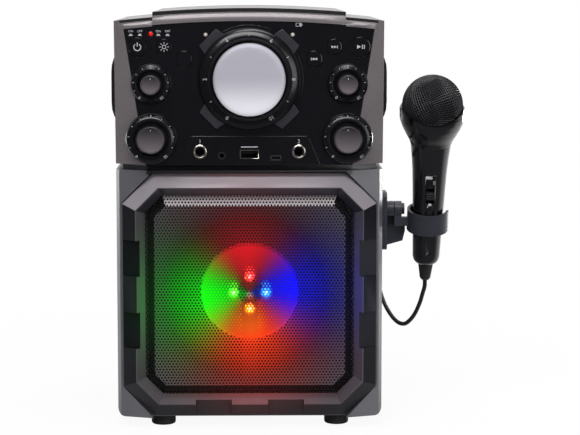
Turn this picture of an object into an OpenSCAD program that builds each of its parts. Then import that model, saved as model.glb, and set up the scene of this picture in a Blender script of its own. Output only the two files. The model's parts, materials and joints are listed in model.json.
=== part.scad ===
// Portable karaoke machine: a two-storey speaker cabinet with a control console on top,
// a lit perforated grille below and a wired microphone in a clip on its right side.
// Millimetres, +Z up, front facing -Y.

/* [Cabinet] */
// Width of both cases
cab_w = 206; // [196:1:230]
// Depth from the front face to the back of the rear cover
cab_d = 190; // [175:1:240]
// Height of the lower case top above the floor
lower_top = 201; // [190:1:240]
// Dark gap between the two cases
case_gap = 4.5; // [3:0.5:8]
// Height of the console, from its bottom to the top of the hood
console_h = 119.5; // [118:0.5:130]
// Moulded wall thickness
wall = 2.5; // [2:0.1:3]
// Depth of the rear cover
cover_d = 14; // [11:0.5:20]
// Height of the feet
foot_h = 8; // [5:0.5:14]
// Radius of a foot
foot_r = 9.5; // [7:0.5:12]

/* [Front frame] */
// Depth from the crest of the frame to its foot
frame_depth = 10; // [7:0.5:12]
// Width of the outer slope
frame_slope = 10.5; // [8:0.5:11]
// Width of the inner slope
frame_inner = 6.5; // [4:0.5:8]
// Corner cut of the crest outline
frame_cut = 17.3; // [12:0.5:26]
// Gap round the frame in its pocket
frame_gap = 1.2; // [0.6:0.1:2]

/* [Grille and speaker] */
// Sheet thickness of the grille
grille_t = 0.8; // [0.6:0.1:1]
// Distance between the holes of the grille
hole_pitch = 11; // [10:0.5:16]
// Radius of a grille hole
hole_r = 2.6; // [1.5:0.1:3.5]
// Radius of the speaker opening in the baffle
cone_hole_r = 38; // [32:0.5:38]
// Radius of the circle of coloured lamps
lamp_ring_r = 12.6; // [11:0.1:16]

/* [Controls] */
// Radius of the master knob
master_r = 27.4; // [24:0.1:28]
// Height of the master knob above the panel
master_h = 22; // [16:0.5:26]
// Radius of the echo and balance knobs
echo_r = 7.5; // [6:0.1:8.4]
// Radius of the two microphone volume knobs
volume_r = 10.5; // [8:0.1:11.2]
// Height of the small knobs above the panel
knob_h = 14; // [10:0.5:18]
// Radius of a knob's stem
stem_r = 3; // [2.5:0.1:3.4]
// Running clearance of a stem, a pin or a switch slider
running = 0.05; // [0.02:0.01:0.1]
// Clearance round a push button
button_gap = 0.35; // [0.3:0.05:0.6]
// Travel of a push button
button_travel = 1.8; // [1:0.1:2]

/* [Jacks] */
// Radius of the bore of a microphone jack
mic_bore_r = 3.25; // [3.2:0.01:3.4]
// Radius of the bore of the auxiliary jack
aux_bore_r = 1.8; // [1.76:0.01:1.9]

/* [Microphone] */
// Forward lean of the microphone
mic_lean = 16; // [8:1:24]
// Sideways lean of the microphone
mic_side = 0.6; // [0:0.1:3]
// Radius of the ball grille
ball_r = 23.5; // [20:0.5:24]
// Length of the body below the middle of the clip
body_low = 37; // [32:1:44]
// Length of the body above the middle of the clip
body_high = 64; // [58:1:76]
// Wall of the body
mic_wall = 1.8; // [1.2:0.1:2.4]
// Outer radius of the clip ring
clip_r = 16.3; // [15.5:0.1:18]
// Height of the clip ring
clip_h = 17; // [12:0.5:22]
// Thickness of the clip ring
clip_t = 2.1; // [1.6:0.1:2.6]

/* [Cord] */
// Diameter of the cord
cord_d = 3.4; // [3:0.1:3.6]
// Turns in one layer of the coil
turns_per_layer = 4; // [3:1:4]
// Distance between turns, sideways and upwards
turn_pitch = 3.85; // [3.85:0.05:4]

/* [Hidden] */
$fn = 64;

gunmetal = [0.36, 0.35, 0.36];
charcoal = [0.17, 0.17, 0.18];
gloss_black = [0.04, 0.04, 0.05];
silver = [0.72, 0.71, 0.74];

hw = cab_w / 2;
upper_bottom = lower_top + case_gap;
top_z = upper_bottom + console_h;
cover_front = cab_d - cover_d;
eps = 0.01;

// The top is domed about an axis along Y, far below the cabinet
hood_r = 930;
dome_z = top_z - hood_r;
dome_fn = 720;
hood_hw = hw - 29.5;
hood_dark = 2.9;
hood_band = 6.9;
wing_drop = 4;
wing_dark = 2.3;
wing_band = 4.7;
wing_r = hood_r - wing_drop;
hood_trim_r = hood_r - hood_dark;
wing_trim_r = wing_r - wing_dark;
hood_panel_r = hood_trim_r - hood_band;
wing_panel_r = wing_trim_r - wing_band;
cover_front_y = 1.5;
band_depth = 8;

// The console's face: a trapezium panel between side bezels that sweep back
panel_t = 3;
panel_fit = 0.15;
panel_bottom_hw = hw - 24;
panel_top_hw = hw - 7.5;
panel_edge_h = 104.5;
bezel_back = 16.5;
bezel_tilt = atan((panel_top_hw - panel_bottom_hw) / panel_edge_h);
bezel_sweep = atan(bezel_back / (hw - panel_bottom_hw));
rim = 6;

// The front frame's crest outline, and the grille behind it
frame_hw = hw - 15.6;
frame_top = lower_top - 13.3;
frame_bottom = foot_h + 11.7;
frame_flat = 0.4;
frame_mid_z = (frame_top + frame_bottom) / 2;
notch_near = 14;
notch_far = 42;
frame_back = frame_depth + 2 + grille_t;
case_face_y = 4;
corner_x = hw - 28;
pan_hw_cut = 7.3;
pan_front_y = 4;

// The speaker stands a little above the middle of the frame
speaker_z = frame_mid_z + 2.3;
baffle_y = frame_back + wall;
baffle_t = 3;
driver_y = baffle_y + baffle_t;
driver_r = 52;
driver_screw_r = driver_r - 3;
surround_r = driver_r - 7.2;

// Places on the console: x from the middle, z above the console's bottom
knob_x = hw - 28.2;
master_z = upper_bottom + 65.7;
echo_z = upper_bottom + 61.9;
volume_z = upper_bottom + 20.2;
jack_z = upper_bottom + 10.4;
aux_z = upper_bottom + 7.3;
lamp_z = upper_bottom + 99;
buttons = [
    [-(hw - 18.1), upper_bottom + 90.1, 7.1],
    [-(hw - 38.4), upper_bottom + 90.1, 6],
    [-(hw - 53.4), upper_bottom + 80.9, 6.2],
    [hw - 53.4, upper_bottom + 80.9, 6.2],
    [hw - 38.4, upper_bottom + 90.1, 6],
    [hw - 18.1, upper_bottom + 90.1, 7.5]];
indicators = [
    [-(hw - 28.4), lamp_z + 1, 2.2],
    [-33, lamp_z + 0.3, 1.6],
    [33, lamp_z + 0.3, 1.6]];
mic_jack_x = 37.7;
aux_x = -21.1;
charge_x = 20.2;
button_proud = 1;
button_stem_end = 7.2;
board_y = 14;
board_t = 1.6;
plate_proud = 0.6;
collar_gap = 2;
echo_collar_r = 15.6;
volume_collar_r = 19.6;
echo_hole_r = echo_r + collar_gap;
volume_hole_r = volume_r + collar_gap;
master_collar_r = 39;
pot_half = 8;
jack_depth = 25;
jack_hw = 6.5;
jack_room = mic_jack_x + jack_hw + 2;

grip_out = 4.5;
grip_y = [40, 140];
grip_low = upper_bottom + 32;
grip_high = upper_bottom + 83;

foot_x = hw - 35.2;
foot_y = [25, cab_d - 25];

// The carrying grip in the rear cover
pocket_hw = 55;
pocket_low = upper_bottom + 44.5;
pocket_high = pocket_low + 34;
pocket_depth = 24;
boss_r = 5.5;
screw_r = 1.5;
screw_places = [
    for (s = [-1, 1])
        for (z = [foot_h + 12, frame_mid_z + 10, lower_top - 14, upper_bottom + 14, upper_bottom + 92])
            [s * (hw - 7.5), z]];

// The microphone's axis goes through the middle of the clip ring
mic_x = hw + 37.2;
mic_y = 42;
mic_z = 159;
body_r_end = 10.7;
body_r_clip = 11.8;
body_r_top = 15.8;
seat_gap = 0.3;
relief_end = body_low + 14.5;
ball_s = body_high + 31;
cup_s = body_high + 21.5;
cup_r = 25.1;
rim_dip_r = 41;
capsule_s = body_high + 7;
switch_s = 25;
switch_travel = 2;
pin_y = mic_y;
pin_z = mic_z + 8.3;
pin_r = 2;
holder_t = 4.4;
holder_x = hw + holder_t;
ear_x = holder_x + 6;
hub_x = ear_x + 0.4;
hub_end_x = hub_x + 5.7;

// The object's own frame: the middle of its footprint, without the cord
left_x = -(hw + grip_out);
right_x = mic_x + sin(mic_side) * cos(mic_lean) * cup_s + cup_r;
centre_x = (left_x + right_x) / 2;
centre_y = (cab_d - master_h) / 2;

cord_r = cord_d / 2;
coil_x = 35;
coil_y = 232;
coil_mean_r = 19;
coil_layers = 4;
coil_low_z = cord_r + 0.7;
coil_turns = coil_layers * turns_per_layer - 0.25;
rings_per_turn = 24;
coil_out_r = coil_mean_r + turns_per_layer * turn_pitch / 2;
coil_in = [coil_x - coil_out_r, coil_y - cord_d, coil_low_z + (coil_layers - 1) * turn_pitch];
coil_out = [coil_x - cord_d, coil_y - coil_out_r + turn_pitch / 4, coil_low_z];

// The cord's route: out of the microphone, down, back past the cabinet's side, up over the
// lip of the carrying grip and down to the coil behind the cabinet
mic_axis = [sin(mic_side) * cos(mic_lean), -sin(mic_lean), cos(mic_side) * cos(mic_lean)];
cord_exit = [mic_x, mic_y, mic_z] - relief_end * mic_axis;
cord_route = [
    cord_exit - cord_r * mic_axis, cord_exit - 2 * cord_d * mic_axis, [138, 60.6, 96], [136.2, 64, 88.5],
    [132.4, 69, 78.5], [128, 74, 72], [124.6, 78.5, 69.4], [120, 84.5, 70],
    [114.8, 93, 75], [109.6, 105, 84.5], [106.6, 120, 97], [105.9, 138, 116],
    [105.9, 158, 141], [105.8, 176, 165], [105.4, 187, 181], [103.4, 192.6, 192.5],
    [96.5, 195.4, 206],
    [84, 195.3, 222], [70, 194.3, 239], [57, 192.8, 250.6], [46, 187, 253],
    [31, 181, 252.2], [17, 182, 252.2], [8.5, 187.5, 253.3], [3.8, 192.8, 250.6],
    [2.3, 195.4, 243], [2, 196, 230], [2, 196, 190], [2, 196, 145],
    [2, 196.3, 100], [2, 197.5, 62], [2.6, 201, 38], [4.5, 208.5, 22],
    [7.2, 218, 15], [8.3, 224.5, 14], coil_in - [0, cord_d / 2, 0]];
drop_last = 6;
route_steps = 2;

plug_r = 6;
plug_x = 4;
plug_y = 204;
tail_route = [
    coil_out - [cord_r, 0, 0], coil_out - [2 * cord_d, 0, 0], [20, 205.4, 3.4], [13, 204.3, 5.2],
    [plug_x + cord_d, plug_y, plug_r]];

// Puts the cabinet's own coordinates into the object's frame
module placed() {
    translate([-centre_x, -centre_y, 0]) children();
}

module in_mic() {
    translate([mic_x, mic_y, mic_z]) rotate([mic_lean, mic_side, 0]) children();
}

module both_sides() {
    children();
    mirror([1, 0, 0]) children();
}

// A cylinder along Y
module ycyl(r, y0, y1, x = 0, z = 0) {
    translate([x, y0, z]) rotate([-90, 0, 0]) cylinder(r = r, h = y1 - y0);
}

// An outline in X and Z, extruded along Y
module slab(points, y0, y1) {
    translate([0, y1, 0]) rotate([90, 0, 0]) linear_extrude(y1 - y0) polygon(points);
}

// A turned piece about an axis along Y, from a profile of radius and y
module turned(profile, x = 0, z = 0) {
    translate([x, 0, z]) rotate([-90, 0, 0]) rotate_extrude() polygon(profile);
}

function octagon(grow) =
    let (c = frame_cut + 0.586 * grow, w = frame_hw + grow,
         t = frame_top + grow, b = frame_bottom - grow)
    [[-w + c, b], [w - c, b], [w, b + c], [w, t - c], [w - c, t], [-w + c, t], [-w, t - c], [-w, b + c]];

module octagon_block(grow, y0, y1) {
    slab(octagon(grow), y0, y1);
}

// A block between two octagons, of one growth at the front and another at the back
module octagon_slope(grow0, y0, grow1, y1) {
    front = [for (p = octagon(grow0)) [p[0], y0, p[1]]];
    back = [for (p = octagon(grow1)) [p[0], y1, p[1]]];
    polyhedron(
        concat(front, back),
        concat([[7, 6, 5, 4, 3, 2, 1, 0], [8, 9, 10, 11, 12, 13, 14, 15]],
               [for (i = [0:7]) [i, (i + 1) % 8, 8 + (i + 1) % 8, 8 + i]]));
}

// The part of a round dome that lies over a strip of the cabinet
module dome(r, half_width, y0, y1, low) {
    intersection() {
        ycyl(r, y0, y1, 0, dome_z, $fn = dome_fn);
        translate([-half_width, y0 - 1, low]) cube([2 * half_width, y1 - y0 + 2, top_z]);
    }
}

// A rectangle whose two lower corners are round
function low_rounded(half_width, z0, z1, r) = concat(
    [for (a = [180:15:270]) [-half_width + r + r * cos(a), z0 + r + r * sin(a)]],
    [for (a = [270:15:360]) [half_width - r + r * cos(a), z0 + r + r * sin(a)]],
    [[half_width, z1], [-half_width, z1]]);

// Cuts away what lies outside the swept side bezels
module bezel_cut(inset = 0) {
    both_sides()
        translate([-panel_bottom_hw, 0, upper_bottom])
            rotate([0, -bezel_tilt, 0])
                rotate([0, 0, -bezel_sweep])
                    translate([-80, inset - 60, -40]) cube([100, 60, 220]);
}

function trapezium(inset, low) = [
    [-panel_bottom_hw + inset, low], [panel_bottom_hw - inset, low],
    [panel_top_hw - inset + 3.2, upper_bottom + panel_edge_h + 20],
    [-panel_top_hw + inset - 3.2, upper_bottom + panel_edge_h + 20]];

// The console face's outline as a block, shrunk by a clearance
module face_block(inset, y0, y1, low) {
    intersection() {
        slab(trapezium(inset, low), y0, y1);
        union() {
            dome(hood_panel_r - inset, hood_hw, y0, y1, low);
            dome(wing_panel_r - inset, hw, y0, y1, low);
        }
    }
}

function case_plan(back) = [
    [-hw, back], [-hw, 18.5], [-hw + 2.6, 13], [-corner_x, case_face_y],
    [corner_x, case_face_y], [hw - 2.6, 13], [hw, 18.5], [hw, back]];

function case_room(back) =
    let (w = hw - wall)
    [[-w, back], [-w, baffle_y + 5.7], [-w + 5.5, baffle_y],
     [w - 5.5, baffle_y], [w, baffle_y + 5.7], [w, back]];

module screw_bosses(low, high) {
    for (p = screw_places)
        if (p[1] > low && p[1] < high)
            ycyl(boss_r, cover_front - 22, cover_front, p[0], p[1]);
}

module screw_pilots() {
    for (p = screw_places)
        ycyl(screw_r + 0.1, cover_front - 20, cover_front + 1, p[0], p[1]);
}

module lower_case() {
    color(gunmetal) placed() difference() {
        union() {
            difference() {
                union() {
                    intersection() {
                        translate([0, 0, foot_h])
                            linear_extrude(lower_top - foot_h) polygon(case_plan(cover_front));
                        slab(low_rounded(hw, foot_h, lower_top + 1, 6), 0, cover_front + 1);
                    }
                    translate([0, 0, lower_top - eps])
                        linear_extrude(case_gap + eps)
                            polygon([[-hw + 5, cover_front], [-hw + 5, 22], [-corner_x, 10],
                                     [corner_x, 10], [hw - 5, 22], [hw - 5, cover_front]]);
                }
                translate([0, 0, foot_h + wall])
                    linear_extrude(lower_top - foot_h - 2 * wall) polygon(case_room(cover_front + 1));
                translate([-corner_x + 10, 30, lower_top - wall - 1])
                    cube([2 * corner_x - 20, cover_front - 40, wall + case_gap + 2]);
            }
            intersection() {
                screw_bosses(foot_h, lower_top);
                slab(low_rounded(hw - wall / 2, foot_h + wall / 2, lower_top, 5), 0, cover_front);
            }
        }
        octagon_block(frame_slope + frame_gap, -1, frame_back);
        octagon_block(-frame_inner - 2.5, -1, baffle_y + 1);
        screw_pilots();
        for (s = [-1, 1])
            for (y = foot_y)
                translate([s * foot_x, y, foot_h - 1]) cylinder(r = 3.1, h = wall + 2);
    }
}

// The console case before it is hollowed: dome, front bands and swept bezels
module upper_block() {
    difference() {
        union() {
            dome(wing_trim_r, hw, 0, cover_front, upper_bottom);
            dome(hood_trim_r, hood_hw, 0, band_depth, upper_bottom);
            intersection() {
                turned([[hood_panel_r, 1], [hood_panel_r, -0.9], [hood_panel_r + 1.4, -1.4],
                        [hood_panel_r + 3, -1.3], [hood_panel_r + 4.8, -0.7],
                        [hood_trim_r - 0.6, 0.4], [hood_trim_r, 1]], 0, dome_z, $fn = dome_fn);
                translate([-hood_hw, -3, upper_bottom]) cube([2 * hood_hw, 6, console_h]);
            }
            intersection() {
                turned([[wing_panel_r, 1], [wing_panel_r, -0.7], [wing_panel_r + 1.2, -1],
                        [wing_panel_r + 2.6, -0.8], [wing_trim_r - 0.5, 0.2],
                        [wing_trim_r, 1]], 0, dome_z, $fn = dome_fn);
                translate([-hw, -3, upper_bottom]) cube([cab_w, 6, console_h]);
            }
        }
        bezel_cut();
    }
}

// Room in the case's rim for what stands behind the panel
module console_clearances() {
    far = panel_t + jack_depth;
    for (b = buttons)
        ycyl(b[2] + 1.5, panel_t, board_y, b[0], b[1]);
    for (s = [-1, 1]) {
        ycyl(stem_r + 2.5, panel_t, band_depth, s * knob_x, volume_z);
        ycyl(stem_r + 2.5, panel_t, band_depth, s * knob_x, echo_z);
    }
    for (l = indicators)
        ycyl(l[2] + 0.3, panel_t, board_y, l[0], l[1]);
    translate([-jack_room, panel_t, upper_bottom + wall])
        cube([2 * jack_room, far, rim]);
}

module upper_case() {
    color(gunmetal) placed() difference() {
        union() {
            difference() {
                upper_block();
                difference() {
                    translate([-hw + wall, panel_t + wall, upper_bottom + wall])
                        cube([cab_w - 2 * wall, cab_d, console_h]);
                    bezel_cut(wall);
                    both_sides()
                        translate([-hood_hw - 1, 0, dome_z + wing_trim_r - 18])
                            cube([2 * hood_hw + 2, band_depth, 30]);
                    translate([-hw, 0, dome_z + wing_trim_r - 14]) cube([cab_w, band_depth, 30]);
                }
            }
            intersection() {
                screw_bosses(upper_bottom, top_z);
                dome(wing_trim_r, hw - wall / 2, 0, cover_front, upper_bottom + wall / 2);
            }
        }
        face_block(0, -5, panel_t, upper_bottom - 1);
        face_block(rim, -5, band_depth + 1, upper_bottom + rim);
        console_clearances();
        screw_pilots();
        translate([-corner_x + 10, 30, upper_bottom - 1])
            cube([2 * corner_x - 20, cover_front - 40, wall + 2]);
    }
}

module top_cover() {
    color(charcoal) placed() difference() {
        union() {
            difference() {
                dome(hood_r, hood_hw, cover_front_y, cover_front, upper_bottom);
                dome(hood_trim_r, hood_hw + 1, cover_front_y - 1, cover_front + 1, upper_bottom - 1);
            }
            difference() {
                dome(wing_r, hw, cover_front_y, cover_front, upper_bottom);
                dome(wing_trim_r, hw + 1, cover_front_y - 1, cover_front + 1, upper_bottom - 1);
                translate([-hood_hw, 0, upper_bottom - 1])
                    cube([2 * hood_hw, cover_front + 1, console_h + 2]);
            }
            both_sides() intersection() {
                difference() {
                    dome(hood_r - 1, hood_hw, band_depth + 0.2, cover_front, upper_bottom);
                    dome(wing_trim_r, hood_hw + 1, 0, cover_front + 1, upper_bottom - 1);
                }
                translate([hood_hw - 2, 0, upper_bottom]) cube([2, cover_front, console_h]);
            }
        }
        bezel_cut();
        both_sides()
            translate([hw - 4.5, 11, top_z - wing_drop - 7]) cylinder(r = 0.9, h = 12);
    }
}

// The outline of the whole cabinet from behind, as a block
module cabinet_block(inset, y0, y1) {
    intersection() {
        slab(low_rounded(hw - inset, foot_h + inset, top_z, 6 - inset), y0, y1);
        union() {
            dome(hood_r - inset, hood_hw - inset, y0, y1, 0);
            dome(wing_r - inset, hw, y0, y1, 0);
        }
    }
}

module rear_cover() {
    tub = wall;
    color(charcoal) placed() difference() {
        union() {
            difference() {
                cabinet_block(0, cover_front, cab_d);
                cabinet_block(wall, cover_front - 1, cab_d - wall);
            }
            translate([-pocket_hw - tub, cab_d - pocket_depth - tub, pocket_low - tub])
                cube([2 * (pocket_hw + tub), pocket_depth + tub - 1, pocket_high - pocket_low + 2 * tub]);
            intersection() {
                for (p = screw_places)
                    ycyl(boss_r, cover_front, cab_d - 1, p[0], p[1]);
                cabinet_block(1, cover_front, cab_d);
            }
        }
        translate([-pocket_hw, cab_d - pocket_depth, pocket_low])
            cube([2 * pocket_hw, pocket_depth + 1, pocket_high - pocket_low]);
        for (p = screw_places) {
            ycyl(screw_r + 0.2, cover_front - 1, cab_d, p[0], p[1]);
            ycyl(3.6, cover_front + 4, cab_d + 1, p[0], p[1]);
        }
    }
}

module rear_screws() {
    color("dimgray") placed()
        for (p = screw_places)
            difference() {
                union() {
                    ycyl(screw_r, cover_front - 12, cover_front + 4 + eps, p[0], p[1]);
                    ycyl(3.2, cover_front + 4, cover_front + 6.4, p[0], p[1]);
                }
                for (a = [0, 90])
                    translate([p[0], cover_front + 6.4, p[1]])
                        rotate([0, a, 0]) cube([4, 2, 0.8], center = true);
            }
}

// Where a side notch is cut: outward distance from the crest, and y
notch_profile = [[-6, 2.35], [13, 11.6], [13, -2], [-6, -2]];

module front_frame() {
    color([0.3, 0.29, 0.3]) placed() difference() {
        union() {
            octagon_slope(frame_flat, 0, frame_slope, frame_depth);
            octagon_block(frame_slope, frame_depth - eps, frame_back);
        }
        octagon_slope(-frame_flat + (frame_inner - frame_flat) / frame_depth, -1,
                      -frame_inner, frame_depth);
        octagon_block(-frame_inner, frame_depth - 1, frame_back + 1);
        octagon_block(-frame_inner + 3, frame_back - grille_t, frame_back + 1);
        for (u = [-notch_far, notch_near]) {
            both_sides()
                translate([frame_hw, 0, frame_mid_z + 1.4 + u])
                    linear_extrude(notch_far - notch_near) polygon(notch_profile);
            translate([u, 0, frame_bottom])
                rotate([0, 90, 0]) linear_extrude(notch_far - notch_near) polygon(notch_profile);
        }
    }
}

// The grille is a pan: a flange behind the frame, a slope, and a flat face with rows of holes
pan_grow = -frame_inner - pan_hw_cut;

module grille() {
    rows = floor((frame_top - frame_bottom - 34) / (hole_pitch * 0.866) / 2);
    columns = floor((frame_hw - 18) / hole_pitch);
    color([0.22, 0.22, 0.23]) placed() difference() {
        union() {
            octagon_slope(pan_grow, pan_front_y, -frame_inner - 0.6, frame_back - grille_t);
            octagon_block(-frame_inner + 2.7, frame_back - grille_t, frame_back);
        }
        octagon_slope(pan_grow - grille_t, pan_front_y + grille_t,
                      -frame_inner - 0.6 - grille_t, frame_back - grille_t);
        octagon_block(-frame_inner - 0.6 - grille_t, frame_back - 2 * grille_t, frame_back + 1);
        for (j = [-rows:rows])
            for (i = [-columns:columns]) {
                shift = (abs(j) % 2) * hole_pitch / 2;
                if (i < columns || shift == 0)
                    ycyl(hole_r, 0, pan_front_y + 3, i * hole_pitch + shift,
                         frame_mid_z + j * hole_pitch * 0.866);
            }
    }
}

module baffle() {
    color([0.1, 0.1, 0.1]) placed() difference() {
        octagon_block(-frame_inner + 1.5, baffle_y, driver_y);
        ycyl(cone_hole_r, baffle_y - 1, driver_y + 1, 0, speaker_z);
        for (a = [45:90:315])
            ycyl(1.6, baffle_y - 1, driver_y + 1,
                 driver_screw_r * cos(a), speaker_z + driver_screw_r * sin(a));
    }
}

module speaker_basket() {
    y = driver_y;
    inner = surround_r + 0.2;
    outer = driver_r - 6;
    color("dimgray") placed() difference() {
        turned([[inner, y], [driver_r, y], [driver_r, y + 2.2], [outer, y + 2.2],
                [outer, y + 4.3], [27, y + 27.7], [27, y + 31.7], [13, y + 31.7],
                [13, y + 29.7], [24.5, y + 29.7], [24.5, y + 27.1], [outer - 2.8, y + 3.9],
                [inner - 4, y + 3.9], [inner - 4, y + 2.7], [inner, y + 2.7]],
               0, speaker_z);
        for (a = [0:90:270])
            translate([0, y + 15, speaker_z]) rotate([0, a, 0])
                translate([20, -7, -11]) cube([40, 14, 22]);
        for (a = [45:90:315])
            ycyl(1.8, y - 1, y + 6, driver_screw_r * cos(a), speaker_z + driver_screw_r * sin(a));
    }
}

module speaker_cone() {
    y = driver_y;
    color("whitesmoke") placed()
        turned([[0, y + 17.1], [8, y + 18.3], [12, y + 20.9], [36, y + 5.1], [38.5, y + 3.3],
                [39.5, y + 2.7], [surround_r, y + 2.7], [surround_r, y + 2], [38.6, y + 2.1],
                [35.6, y + 4.1], [12.2, y + 19.7], [8, y + 17.1], [0, y + 15.9]], 0, speaker_z);
}

module speaker_magnet() {
    y = driver_y + 31.7;
    color("darkgray") placed() {
        turned([[0, y - 10], [8, y - 10], [8, y], [30, y], [30, y + 14], [0, y + 14]], 0, speaker_z);
    }
}

module driver_screws() {
    color("silver") placed()
        for (a = [45:90:315]) {
            x = driver_screw_r * cos(a);
            z = speaker_z + driver_screw_r * sin(a);
            ycyl(1.5, baffle_y - 0.1, driver_y + 7.5, x, z);
            ycyl(2.9, baffle_y - 1.9, baffle_y, x, z);
            ycyl(2.7, driver_y + 4.35, driver_y + 6.4, x, z);
        }
}

lamp_y = baffle_y - 4.1;

module light_bracket() {
    color([0.12, 0.12, 0.12]) placed() {
        translate([-6, baffle_y - 2, frame_bottom + frame_inner + 3.5])
            cube([12, 2, speaker_z - frame_bottom - frame_inner - 3.5]);
        ycyl(10, baffle_y - 2.5, baffle_y, 0, speaker_z);
    }
}

module lamp_board() {
    color("darkslategray") placed() {
        ycyl(9.4, lamp_y, baffle_y - 2.5, 0, speaker_z);
        for (a = [0:90:270])
            ycyl(4.4, lamp_y, baffle_y - 2.5, lamp_ring_r * cos(a), speaker_z + lamp_ring_r * sin(a));
    }
}

module coloured_lamps() {
    colours = ["blue", "red", "lime", "orange"];
    placed()
        for (i = [0:3]) {
            a = i * 90;
            color(colours[i])
                turned([[0, lamp_y - 5.2], [1.5, lamp_y - 4.9], [2.9, lamp_y - 4], [3.7, lamp_y - 2.8],
                        [4, lamp_y - 1.4], [4, lamp_y], [0, lamp_y]],
                       lamp_ring_r * cos(a), speaker_z + lamp_ring_r * sin(a));
        }
}

// The raised plate round the jacks: a trapezium with rounded upper corners
plate_top = upper_bottom + 22;
plate_points = concat(
    [[-54, upper_bottom + 0.4], [54, upper_bottom + 0.4]],
    [for (a = [20:14:90]) [43.2 + 2.5 * cos(a), plate_top - 2.5 + 2.5 * sin(a)]],
    [for (a = [90:14:160]) [-43.2 + 2.5 * cos(a), plate_top - 2.5 + 2.5 * sin(a)]]);

module console_panel() {
    color(gloss_black) placed() difference() {
        union() {
            face_block(panel_fit, 0, panel_t, upper_bottom);
            slab(plate_points, -plate_proud, 1);
            for (p = [[30, 34], [-30, 34], [24, 92], [-24, 92]])
                ycyl(3, 1, board_y, p[0], upper_bottom + p[1]);
        }
        difference() {
            ycyl(41.8, -1, 0.4, 0, master_z);
            ycyl(41.1, -1, 0.4, 0, master_z);
        }
        ycyl(stem_r + 0.6, -2, board_y, 0, master_z);
        for (s = [-1, 1]) {
            ycyl(stem_r + 0.6, -2, board_y, s * knob_x, echo_z);
            ycyl(stem_r + 0.6, -2, board_y, s * knob_x, volume_z);
            ycyl(4.3, -2, board_y, s * mic_jack_x, jack_z);
        }
        for (b = buttons)
            ycyl(b[2] + button_gap, -2, panel_t + 1, b[0], b[1]);
        for (l = indicators)
            ycyl(l[2] + 0.1, -2, panel_t + 1, l[0], l[1]);
        ycyl(3.1, -2, panel_t + 1, aux_x, aux_z);
        translate([-7.4, -2, aux_z - 2.6]) cube([14.8, panel_t + 4, 7.2]);
        translate([charge_x - 4.2, -2, aux_z - 3.6]) cube([8.4, panel_t + 4, 3.8]);
    }
}

module side_grips() {
    t = grip_out;
    color([0.08, 0.08, 0.08]) placed() both_sides()
        slab([[hw, grip_low], [hw + t * 0.55, grip_low + 3], [hw + t * 0.9, grip_low + 8],
              [hw + t, grip_low + 14], [hw + t, grip_high - 14], [hw + t * 0.9, grip_high - 8],
              [hw + t * 0.55, grip_high - 3], [hw, grip_high]], grip_y[0], grip_y[1]);
}

// A collar's section: a rounded bevel round a well
function collar_profile(outer, inner) = [
    [inner, 0], [inner, -3.6], [inner + 0.8, -4.8], [inner + 2.2, -5.2],
    [outer - 3.2, -4.6], [outer - 1.2, -3.2], [outer - 0.3, -1.6], [outer, 0]];

// A collar reaches back to the swept bezel where it overhangs the panel
module collar(outer, inner, x, z) {
    turned(collar_profile(outer, inner), x, z);
    difference() {
        ycyl(outer, -eps, 12, x, z);
        ycyl(inner, -1, 13, x, z);
        upper_block();
        translate([-hw, 0, upper_bottom - 2]) cube([cab_w, panel_t, 2]);
    }
}

module master_collar() {
    r = master_collar_r;
    well = master_r + collar_gap;
    color(gloss_black) placed() {
        difference() {
            union() {
                turned([[well, 0], [well, -4.2], [well + 0.7, -6.4], [well + 2.8, -7],
                        [r - 3.4, -5.6], [r - 1.2, -3.2], [r - 0.3, -1.4], [r, 0]], 0, master_z);
                for (a = [45:90:315])
                    translate([0, 0, master_z]) rotate([0, a, 0])
                        slab([[-10.9, 36], [10.9, 36], [9, 44.8], [-9, 44.8]], -2.2, 0);
            }
            ycyl(well, -3, 1, 0, master_z);
        }
    }
}

module knob_collars() {
    color(gloss_black) placed()
        for (s = [-1, 1]) {
            collar(echo_collar_r, echo_hole_r, s * knob_x, echo_z);
            collar(volume_collar_r, volume_hole_r, s * knob_x, volume_z);
        }
}

// A knob: a cap with a rounded rim, hollow behind, on a stem, with a pointer mark on its face
module knob(r, h, x, z, pointer, mark_r) {
    translate([x, 0, z]) rotate([0, pointer, 0]) difference() {
        union() {
            difference() {
                turned([[0, -h], [r - 2.4, -h], [r - 1.1, -h + 0.35], [r - 0.3, -h + 1.2],
                        [r, -h + 2.6], [r, -1.2], [0, -1.2]]);
                ycyl(r - 2, -h + 2.6, 0);
            }
            ycyl(stem_r + 1.5, -h + 2, -1.2);
            ycyl(stem_r, -h + 2, board_y - 3);
        }
        ycyl(mark_r, -h - 1, -h + 0.4, 0, r - 3.2 - mark_r);
    }
}

module master_knob() {
    color(silver) placed() knob(master_r, master_h, 0, master_z, 47.7, 0.7);
}

module echo_knob() {
    color("gray") placed() knob(echo_r, knob_h, -knob_x, echo_z, 0, 0.5);
}

module balance_knob() {
    color("gray") placed() knob(echo_r, knob_h, knob_x, echo_z, 0, 0.5);
}

module mic1_knob() {
    color("gray") placed() knob(volume_r, knob_h, -knob_x, volume_z, 0, 0.6);
}

module mic2_knob() {
    color("gray") placed() knob(volume_r, knob_h, knob_x, volume_z, 0, 0.6);
}

// A push button: cap, a flange that stops behind the panel, and a stem for its switch
module button(i) {
    b = buttons[i];
    r = b[2];
    color(gloss_black) placed() {
        turned([[0, -button_proud], [r - 0.8, -button_proud], [r, -button_proud + 0.6],
                [r, panel_t + 0.3], [r + 1, panel_t + 0.3], [r + 1, panel_t + 1.6],
                [2, panel_t + 1.6], [2, button_stem_end], [0, button_stem_end]], b[0], b[1]);
    }
}

module power_button() { button(0); }

module lights_button() { button(1); }

module source_button() { button(2); }

module previous_button() { button(3); }

module next_button() { button(4); }

module play_button() { button(5); }

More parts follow.
